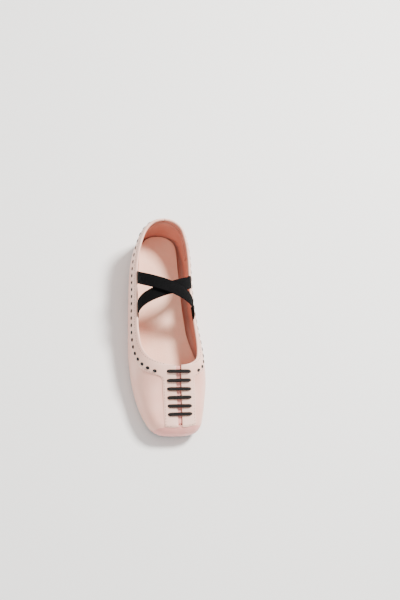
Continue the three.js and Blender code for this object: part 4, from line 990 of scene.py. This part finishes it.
def build_grip():
    """The heel grip: a patch on the lining across the back seam, narrower toward its two ends."""
    parts = []
    for side in SIDES:
        cols = COLUMNS[side]
        c = np.linspace(0, 6.2, 29)
        fade = smooth(c / 6.2)
        wall = cols.length(c)
        s = mix(mix(wall * 0.93, 20.0, fade), mix(7.0, 14.0, fade), np.linspace(0, 1, 21)[:, None])
        parts.append(cols.place(c, s, lining_depth(s) + LINING + 0.1))
    point = np.concatenate([parts[0][0][:, ::-1], parts[1][0][:, 1:]], axis=1)
    normal = np.concatenate([parts[0][1][:, ::-1], parts[1][1][:, 1:]], axis=1)
    obj = sheet_object("heel_grip_leather", point[:, ::-1], normal[:, ::-1], 0.0, 0.6, MATERIALS["lining"])
    ride(obj, "slipper", "lining", "heel_grip")


def build_tongue():
    """The strip under the slit: it follows the surface lower down, drops toward its medial edge,
    waves a little along its length and dives at the toe."""
    along = np.linspace(THROAT_AT + 0.8, SLIT_END + 4, 96)[:, None]
    w = np.linspace(-1, 1, 25)[None, :]
    x = centre_x(along) + w * TONGUE_HALF
    drop = 1.2 * smooth((w * TONGUE_HALF - 1.2) / 2.0)
    wave = 0.15 * np.sin(along * 0.36) * (1 - w ** 2)
    dive = 1.3 * smooth((along - SLIT_END + 3) / 3)
    z = surface_height(x, along) - TONGUE_DEPTH - drop + wave - dive
    point = np.dstack(np.broadcast_arrays(x, along, z))
    normal = np.zeros_like(point)
    normal[..., 2] = 1
    # painted shade: the tongue takes the darkened satin for the shade down in the slit
    obj = sheet_object("tongue_satin", point[:, ::-1], normal, 0.0, 0.8, MATERIALS["satin_painted_shade"])
    ride(obj, "slipper", "satin", "tongue")


def edge_offset(side, inset, until):
    """A line on the surface at inset mm from the opening's edge: edge + inset * (normal x run), set
    back on the surface. It ends at until mm from the centre line."""
    wall = WALLS[side]
    edge = wall.point(COLUMNS[side].edge)
    run = unit(np.gradient(edge, axis=0))
    normal = wall.normal(COLUMNS[side].edge)
    away = unit(np.cross(normal, run)) * -side
    fade = smooth((edge[:, 1] - 100) / 60)
    uv = wall.project(edge + away * mix(inset, inset + 1.2, fade)[:, None] - normal * (inset ** 2 / 90))
    line, normal = wall.point(uv), wall.normal(uv)
    keep = (edge[:, 1] < 150) | (side * (line[:, 0] - centre_x(line[:, 1])) > until)
    last = len(keep) if keep.all() else int(np.argmin(keep))
    return line[:last], normal[:last]


def eyelet_sites(side):
    """Eyelet centres at equal pitch along the line below the edge, with run directions and normals."""
    point, normal = edge_offset(side, EYELET_INSET, EYELET_END[side])
    run = run_of(point)
    goal = run[-1] - setting("eyelet_pitch") * np.arange(EYELETS)[::-1]
    goal = goal[goal > 2.5]
    at = lambda a: np.stack([np.interp(goal, run, a[:, k]) for k in range(3)], 1)
    n = unit(at(normal))
    way = unit(at(np.gradient(point, axis=0)))
    return at(point), unit(way - n * (way * n).sum(-1, keepdims=True)), n


def build_eyelets():
    """Two rows of eyelets: a rolled rim turned about each site's normal, a little longer along the
    run, with a sunk middle."""
    for side, word in SIDES.items():
        centre, run, normal = eyelet_sites(side)
        across = np.cross(normal, run)
        radii = np.array([0.0, 1.15, 1.25, 1.5, 1.85, 2.05, 2.03])
        lift = np.array([0.10, 0.10, 0.42, 0.56, 0.46, 0.15, -0.4]) + FACING_OUT + 0.27
        a = np.linspace(0, 2 * math.pi, 20, endpoint=False)
        ring = np.stack([radii[:, None] * np.cos(a) * 1.1, radii[:, None] * np.sin(a) * 0.86], -1)
        point = (centre[:, None, None] + ring[..., :1] * run[:, None, None]
                 + ring[..., 1:] * across[:, None, None] + lift[:, None, None] * normal[:, None, None])
        bottom = point[:, -1:].mean(axis=2, keepdims=True) + 0 * point[:, -1:]
        point = np.concatenate([point, bottom], axis=1)
        per = point.shape[1] * point.shape[2]
        faces = grid_faces(point.shape[1], point.shape[2], wrap_columns=True)
        faces = (faces[None] + np.arange(len(centre))[:, None, None] * per).reshape(-1, 4)
        obj = make_object(f"eyelets_{word}", point.reshape(-1, 3), faces, MATERIALS["eyelet"])
        ride(obj, "slipper", "eyelet", f"eyelet_row_{word}")


def lace_level(along, offset, height):
    """A point over or under the top of the foot, at an offset from the centre line."""
    x = centre_x(along) + offset
    return np.stack([x, along, surface_height(x, along) + height], -1)


def build_lace():
    """One braided cord: six bars over the facing that dive through it at both ends, the hidden runs
    between them on alternate sides, and two tucked ends."""
    over = FACING_OUT + setting("lace_rest") + 0.75
    bars = THROAT_AT + LACE_FIRST + LACE_PITCH * np.arange(LACE_BARS)
    under = -(UPPER + 0.3 + 1.15)
    span = LACE_HALF_SPAN + 0.5
    route = [(-span, -1.8), (-span - 0.1, -0.2), (-span + 0.15, over - 0.75), (-span + 1.2, over - 0.05),
             (-span + 4, over + 0.15), (-2.5, over + 0.25), (2.5, over + 0.25), (span - 4, over + 0.15),
             (span - 1.2, over - 0.05), (span - 0.15, over - 0.75), (span + 0.1, -0.2), (span, -1.8)]
    offset, height = np.array(route).T
    shown, hidden = [], []
    for k, along in enumerate(bars):
        lean = -0.25 if k % 2 else 0.25
        sway = 0.35 * math.sin(k * 2.1)
        line = lace_level(along + np.linspace(-lean, lean, len(offset)) + sway * 0.3, offset, height)
        shown.append(evenly(curve(line, np.linspace(0, 1, 160)), 90))
    for k in range(LACE_BARS - 1):
        side = MEDIAL if k % 2 == 0 else LATERAL
        along = np.array([bars[k] + 0.2, bars[k] + 2, bars[k + 1] - 2, bars[k + 1] - 0.2])
        height = np.array([-1.5, under, under, -1.5])
        line = lace_level(along, side * LACE_HALF_SPAN, height)
        hidden.append(evenly(curve(line, np.linspace(0, 1, 60)), 30))
    for along, way in ((bars[0], 1), (bars[-1], -1)):
        line = lace_level(along + way * np.array([0.2, 2.0, 5.0]), LATERAL * LACE_HALF_SPAN,
                          np.array([-1.5, under, under]))
        hidden.append(evenly(curve(line, np.linspace(0, 1, 30)), 16))
    m = MATERIALS["lace"]
    pieces = [tube_object(f"lace_bar_{k}", path, LACE_FLAT, LACE_ROUND, (0.0, 0.35, 1.0), m, 18)
              for k, path in enumerate(shown)]
    pieces += [tube_object(f"lace_run_{k}", path, 1.2, LACE_ROUND, (1, 0, 0), m, 10)
               for k, path in enumerate(hidden)]
    ride(join("lace_braid", pieces), "slipper", "lace", "lace")


def join(name, objects):
    """One object from several that share a material."""
    with bpy.context.temp_override(active_object=objects[0], selected_objects=objects,
                                   selected_editable_objects=objects):
        bpy.ops.object.join()
    objects[0].name = objects[0].data.name = name
    return objects[0]


def stitch_line(name, side, c, s, lift):
    """Stitches along a line at s mm below the edge, raised by lift from the surface."""
    cols = COLUMNS[side]
    point, normal = cols.place(c, np.asarray(s)[None, :], np.full((1, len(c)), -lift))
    point, normal = point[0], normal[0]
    run = run_of(point)
    pitch = setting("stitch_pitch")
    goal = np.arange(pitch, run[-1] - pitch, pitch)
    at = lambda a: np.stack([np.interp(goal, run, a[:, k]) for k in range(3)], 1)
    way = unit(at(np.gradient(point, axis=0)))
    n = unit(at(normal))
    way = unit(way - n * (way * n).sum(-1, keepdims=True))
    # the stitches take the darkened thread, which paints the shade of their holes
    return ellipsoids(name, at(point), way, n, STITCH_SIZE, MATERIALS["thread_and_hole_shade"])


def build_stitches():
    """Two rows of stitches on each band: along its lower edge and under its rim."""
    for side, word in SIDES.items():
        c = np.concatenate([np.linspace(0.2, 20, 161), np.linspace(20, 28, 97)[1:],
                            np.linspace(28, 36.5, 61)[1:]])
        width = facing_width(side, c) - 1.6
        lower = stitch_line(f"stitches_facing_{word}", side, c, width, FACING_OUT - 0.16)
        rim = c[c < TOPLINE_TURN - 1.0]
        upper = stitch_line(f"stitches_rim_{word}", side, rim, np.full(len(rim), 3.6), FACING_OUT + 0.17)
        obj = join(f"stitches_{word}", [lower, upper])
        ride(obj, "slipper", "satin")


def foot_point(side, along):
    """A strap's foot: the opening's edge at a distance from the heel, between upper and lining."""
    cols = COLUMNS[side]
    edge = cols.wall.point(cols.edge)
    c = np.interp(along, edge[:90, 1], np.linspace(0, TOPLINE_TURN, 97)[:90])
    c = np.atleast_1d(c)
    point, _ = cols.place(c, np.zeros((1, len(c))), np.full((1, len(c)), STRAP_DEPTH))
    return point[0], c


def build_straps():
    """Two tapes: half turns of an ellipse from foot to foot that bow sideways and cross in the
    middle, one raised over the other, and four flat sewn ends."""
    for word, ends in STRAP_ENDS.items():
        lift = STRAP_CROSS if word == "upper" else 0.0
        slant = math.atan2(ends[MEDIAL] - ends[LATERAL], 95)
        half = STRAP_WIDTH / 2 / math.cos(slant)
        w = np.linspace(-1, 1, 17)
        a, ca = foot_point(LATERAL, ends[LATERAL] + w * half)
        b, cb = foot_point(MEDIAL, ends[MEDIAL] + w * half)
        angle = np.linspace(0.012, math.pi - 0.012, 97)[:, None]
        middle = mix(a[None], b[None], ((1 - np.cos(angle)) / 2)[..., None])
        x = middle[..., 0] - STRAP_BOW * np.sin(2 * angle)
        y = mix(a[:, 1], b[:, 1], angle / math.pi)
        crown = 0.25 * (1 - w ** 2)
        z = middle[..., 2] + (setting("strap_rise") + crown) * np.sin(angle) + lift * np.sin(angle) ** 2
        point = np.dstack([x, y, z])
        du, dw = np.gradient(point, axis=0), np.gradient(point, axis=1)
        normal = unit(np.cross(du, dw))
        normal = normal * np.sign((normal * np.array([0, 0, 1.0])).sum(-1).mean())
        obj = sheet_object(f"strap_{word}_elastic", point, normal, 0.45, 0.45, MATERIALS["elastic"])
        turn_uv(obj)
        ride(obj, f"{word}_strap", "elastic", f"strap_{word}")
        for side, c in ((LATERAL, ca), (MEDIAL, cb)):
            s = np.repeat(np.linspace(5.0, -0.5, 9)[:, None], len(c), 1)
            point, normal = COLUMNS[side].place(c, s, 0 * s + STRAP_DEPTH)
            order = slice(None) if side == LATERAL else slice(None, None, -1)
            end = sheet_object(f"strap_{word}_sewn_{SIDES[side]}", point[:, order], normal[:, order],
                               0.4, 0.4, MATERIALS["elastic"])
            ride(end, "slipper", "elastic", f"strap_{word}_end_{SIDES[side]}")


def turn_uv(obj):
    """Swaps the two UV directions, so that the first one runs along the strap."""
    layer = obj.data.uv_layers[0].data
    uv = np.zeros(len(layer) * 2, np.float32)
    layer.foreach_get("uv", uv)
    layer.foreach_set("uv", uv.reshape(-1, 2)[:, ::-1].ravel())


HIDDEN_FINISH = {"bottom_filler": "foam", "shank": "steel", "insole_board": "board",
                 "heel_counter": "stiffener", "toe_puff": "stiffener"}


def finish_hidden():
    """Materials for the inner pieces that keep their exact solids."""
    for node, material in HIDDEN_FINISH.items():
        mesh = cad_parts[node].data
        mesh.materials.clear()
        mesh.materials.append(MATERIALS[material])


# ------------------------------------------------------------------ stage

CAMERA = {"azimuth": -30.5, "elevation": 62.0, "roll": 27.7, "distance": 1.27,
          "target": (0.0497, 0.0450, 0.0), "lens": 65.05}


def build_camera():
    """A camera that looks at a target from an azimuth and an elevation and is rolled about its axis."""
    az, el, roll = (math.radians(CAMERA[k]) for k in ("azimuth", "elevation", "roll"))
    out = Vector((math.sin(az) * math.cos(el), -math.cos(az) * math.cos(el), math.sin(el)))
    right = (-out).cross(Vector((0, 0, 1))).normalized()
    up = right.cross(-out)
    rolled_right = right * math.cos(roll) + up * math.sin(roll)
    rolled_up = -right * math.sin(roll) + up * math.cos(roll)
    data = bpy.data.cameras.new("camera")
    data.lens, data.sensor_width, data.sensor_fit = CAMERA["lens"], 36, "AUTO"
    camera = bpy.data.objects.new("camera", data)
    turn = Matrix((rolled_right, rolled_up, out)).transposed().to_4x4()
    camera.matrix_world = Matrix.Translation(Vector(CAMERA["target"]) + out * CAMERA["distance"]) @ turn
    bpy.context.scene.collection.objects.link(camera)
    bpy.context.scene.camera = camera


def area_light(name, place, aim, size, power, colour):
    data = bpy.data.lights.new(name, "AREA")
    data.size, data.energy, data.color = size, power, colour
    lamp = bpy.data.objects.new(name, data)
    lamp.location = place
    lamp.rotation_euler = (Vector(aim) - Vector(place)).to_track_quat("-Z", "Y").to_euler()
    bpy.context.scene.collection.objects.link(lamp)


FLOOR_HALF = 9.0
WORLD_STRENGTH = 0.8
AIM = (0, 0, 0.02)


def build_floor():
    """A wide plain floor, level with the sole."""
    s = Shader("floor", 0.85)
    s.colour(srgb(246, 246, 244), srgb(250, 250, 248), s.noise(s.place(), 3, 2))
    mesh = bpy.data.meshes.new("floor")
    h = FLOOR_HALF
    mesh.from_pydata([(-h, -h, 0), (h, -h, 0), (h, h, 0), (-h, h, 0)], [], [(0, 1, 2, 3)])
    mesh.materials.append(s.material)
    floor = bpy.data.objects.new("floor", mesh)
    bpy.context.scene.collection.objects.link(floor)


def build_stage():
    """The camera, the floor, an even pale sky, a key light and a weak fill."""
    build_camera()
    build_floor()
    world = bpy.data.worlds.new("studio")
    world.use_nodes = True
    background = world.node_tree.nodes["Background"]
    background.inputs["Color"].default_value = (1.0, 0.995, 0.985, 1)
    background.inputs["Strength"].default_value = WORLD_STRENGTH
    bpy.context.scene.world = world
    area_light("key", (0.85, 0.6, 1.45), AIM, 0.42, 80, (1.0, 0.97, 0.935))
    area_light("fill", (-1.2, -1.0, 1.3), AIM, 1.4, 8, (1.0, 0.99, 0.98))


# ------------------------------------------------------------------ add-on

class SlipperSettings(bpy.types.PropertyGroup):
    pad_fill: bpy.props.FloatProperty(
        name="Pad fill", description="How full the heel cushion is",
        default=0.7, min=0, max=1, subtype="FACTOR")
    lace_rest: bpy.props.FloatProperty(
        name="Lace rest", description="Height of the lace over the facing",
        default=LACE_REST / 1000, unit="LENGTH", subtype="DISTANCE")
    eyelet_pitch: bpy.props.FloatProperty(
        name="Eyelet pitch", description="Distance from one eyelet to the next",
        default=EYELET_PITCH / 1000, unit="LENGTH", subtype="DISTANCE")
    stitch_pitch: bpy.props.FloatProperty(
        name="Stitch pitch", description="Distance from one stitch to the next",
        default=STITCH_PITCH / 1000, unit="LENGTH", subtype="DISTANCE")
    strap_rise: bpy.props.FloatProperty(
        name="Strap rise", description="Height of the straps' arches over their feet",
        default=STRAP_RISE / 1000, unit="LENGTH", subtype="DISTANCE")


LENGTHS = ("lace_rest", "eyelet_pitch", "stitch_pitch", "strap_rise")


def setting(name):
    """A value of the panel's settings, lengths in millimetres."""
    value = getattr(bpy.context.scene.slipper, name)
    return round(value * 1000 if name in LENGTHS else value, 4)


class SLIPPER_OT_materials(bpy.types.Operator):
    """Makes the procedural materials"""
    bl_idname = "slipper.materials"
    bl_label = "Materials"

    def execute(self, context):
        make_materials()
        return {"FINISHED"}


class SLIPPER_OT_sole(bpy.types.Operator):
    """Builds the outsole and the heel lift"""
    bl_idname = "slipper.sole"
    bl_label = "Sole"

    def execute(self, context):
        build_sole()
        return {"FINISHED"}


class SLIPPER_OT_insole(bpy.types.Operator):
    """Builds the sock lining and its cushion"""
    bl_idname = "slipper.insole"
    bl_label = "Insole"

    def execute(self, context):
        build_insole()
        return {"FINISHED"}


class SLIPPER_OT_upper(bpy.types.Operator):
    """Builds the satin upper and the toe tip"""
    bl_idname = "slipper.upper"
    bl_label = "Upper"

    def execute(self, context):
        build_upper()
        return {"FINISHED"}


class SLIPPER_OT_facing(bpy.types.Operator):
    """Builds the padded band round the opening"""
    bl_idname = "slipper.facing"
    bl_label = "Facing"

    def execute(self, context):
        build_facing()
        return {"FINISHED"}


class SLIPPER_OT_lining(bpy.types.Operator):
    """Builds the leather lining and the heel grip"""
    bl_idname = "slipper.lining"
    bl_label = "Lining"

    def execute(self, context):
        build_lining()
        return {"FINISHED"}


class SLIPPER_OT_tongue(bpy.types.Operator):
    """Builds the satin tongue under the slit"""
    bl_idname = "slipper.tongue"
    bl_label = "Tongue"

    def execute(self, context):
        build_tongue()
        return {"FINISHED"}


class SLIPPER_OT_eyelets(bpy.types.Operator):
    """Sets the two rows of eyelets"""
    bl_idname = "slipper.eyelets"
    bl_label = "Eyelets"

    def execute(self, context):
        build_eyelets()
        return {"FINISHED"}


class SLIPPER_OT_lace(bpy.types.Operator):
    """Threads the lace over the slit"""
    bl_idname = "slipper.lace"
    bl_label = "Lace"

    def execute(self, context):
        build_lace()
        return {"FINISHED"}


class SLIPPER_OT_stitches(bpy.types.Operator):
    """Sews the rows of stitches on the band"""
    bl_idname = "slipper.stitches"
    bl_label = "Stitches"

    def execute(self, context):
        build_stitches()
        return {"FINISHED"}


class SLIPPER_OT_straps(bpy.types.Operator):
    """Builds the crossed elastic straps"""
    bl_idname = "slipper.straps"
    bl_label = "Straps"

    def execute(self, context):
        build_straps()
        return {"FINISHED"}


class SLIPPER_OT_hidden(bpy.types.Operator):
    """Gives the inner pieces their finishes"""
    bl_idname = "slipper.hidden"
    bl_label = "Inner pieces"

    def execute(self, context):
        finish_hidden()
        return {"FINISHED"}


class SLIPPER_OT_stage(bpy.types.Operator):
    """Sets the floor, the light and the camera"""
    bl_idname = "slipper.stage"
    bl_label = "Stage"

    def execute(self, context):
        build_stage()
        return {"FINISHED"}


OPERATORS = [
    SLIPPER_OT_materials, SLIPPER_OT_sole, SLIPPER_OT_insole, SLIPPER_OT_upper, SLIPPER_OT_facing,
    SLIPPER_OT_lining, SLIPPER_OT_tongue, SLIPPER_OT_eyelets, SLIPPER_OT_lace, SLIPPER_OT_stitches,
    SLIPPER_OT_straps, SLIPPER_OT_hidden, SLIPPER_OT_stage,
]


class SLIPPER_PT_panel(bpy.types.Panel):
    """Lists the slipper's pieces"""
    bl_label = "Ballet slipper"
    bl_space_type = "VIEW_3D"
    bl_region_type = "UI"
    bl_category = "Slipper"

    def draw(self, context):
        for name in SlipperSettings.__annotations__:
            self.layout.prop(context.scene.slipper, name)
        for item in OPERATORS:
            self.layout.operator(item.bl_idname)


CLASSES = [SlipperSettings, *OPERATORS, SLIPPER_PT_panel]


def register():
    for item in CLASSES:
        bpy.utils.register_class(item)
    bpy.types.Scene.slipper = bpy.props.PointerProperty(type=SlipperSettings)


def unregister():
    del bpy.types.Scene.slipper
    for item in reversed(CLASSES):
        bpy.utils.unregister_class(item)


def main():
    """Builds every piece in order."""
    register()
    for item in OPERATORS:
        getattr(bpy.ops.slipper, item.bl_idname.split(".")[1])()


if __name__ == "__main__":
    main()
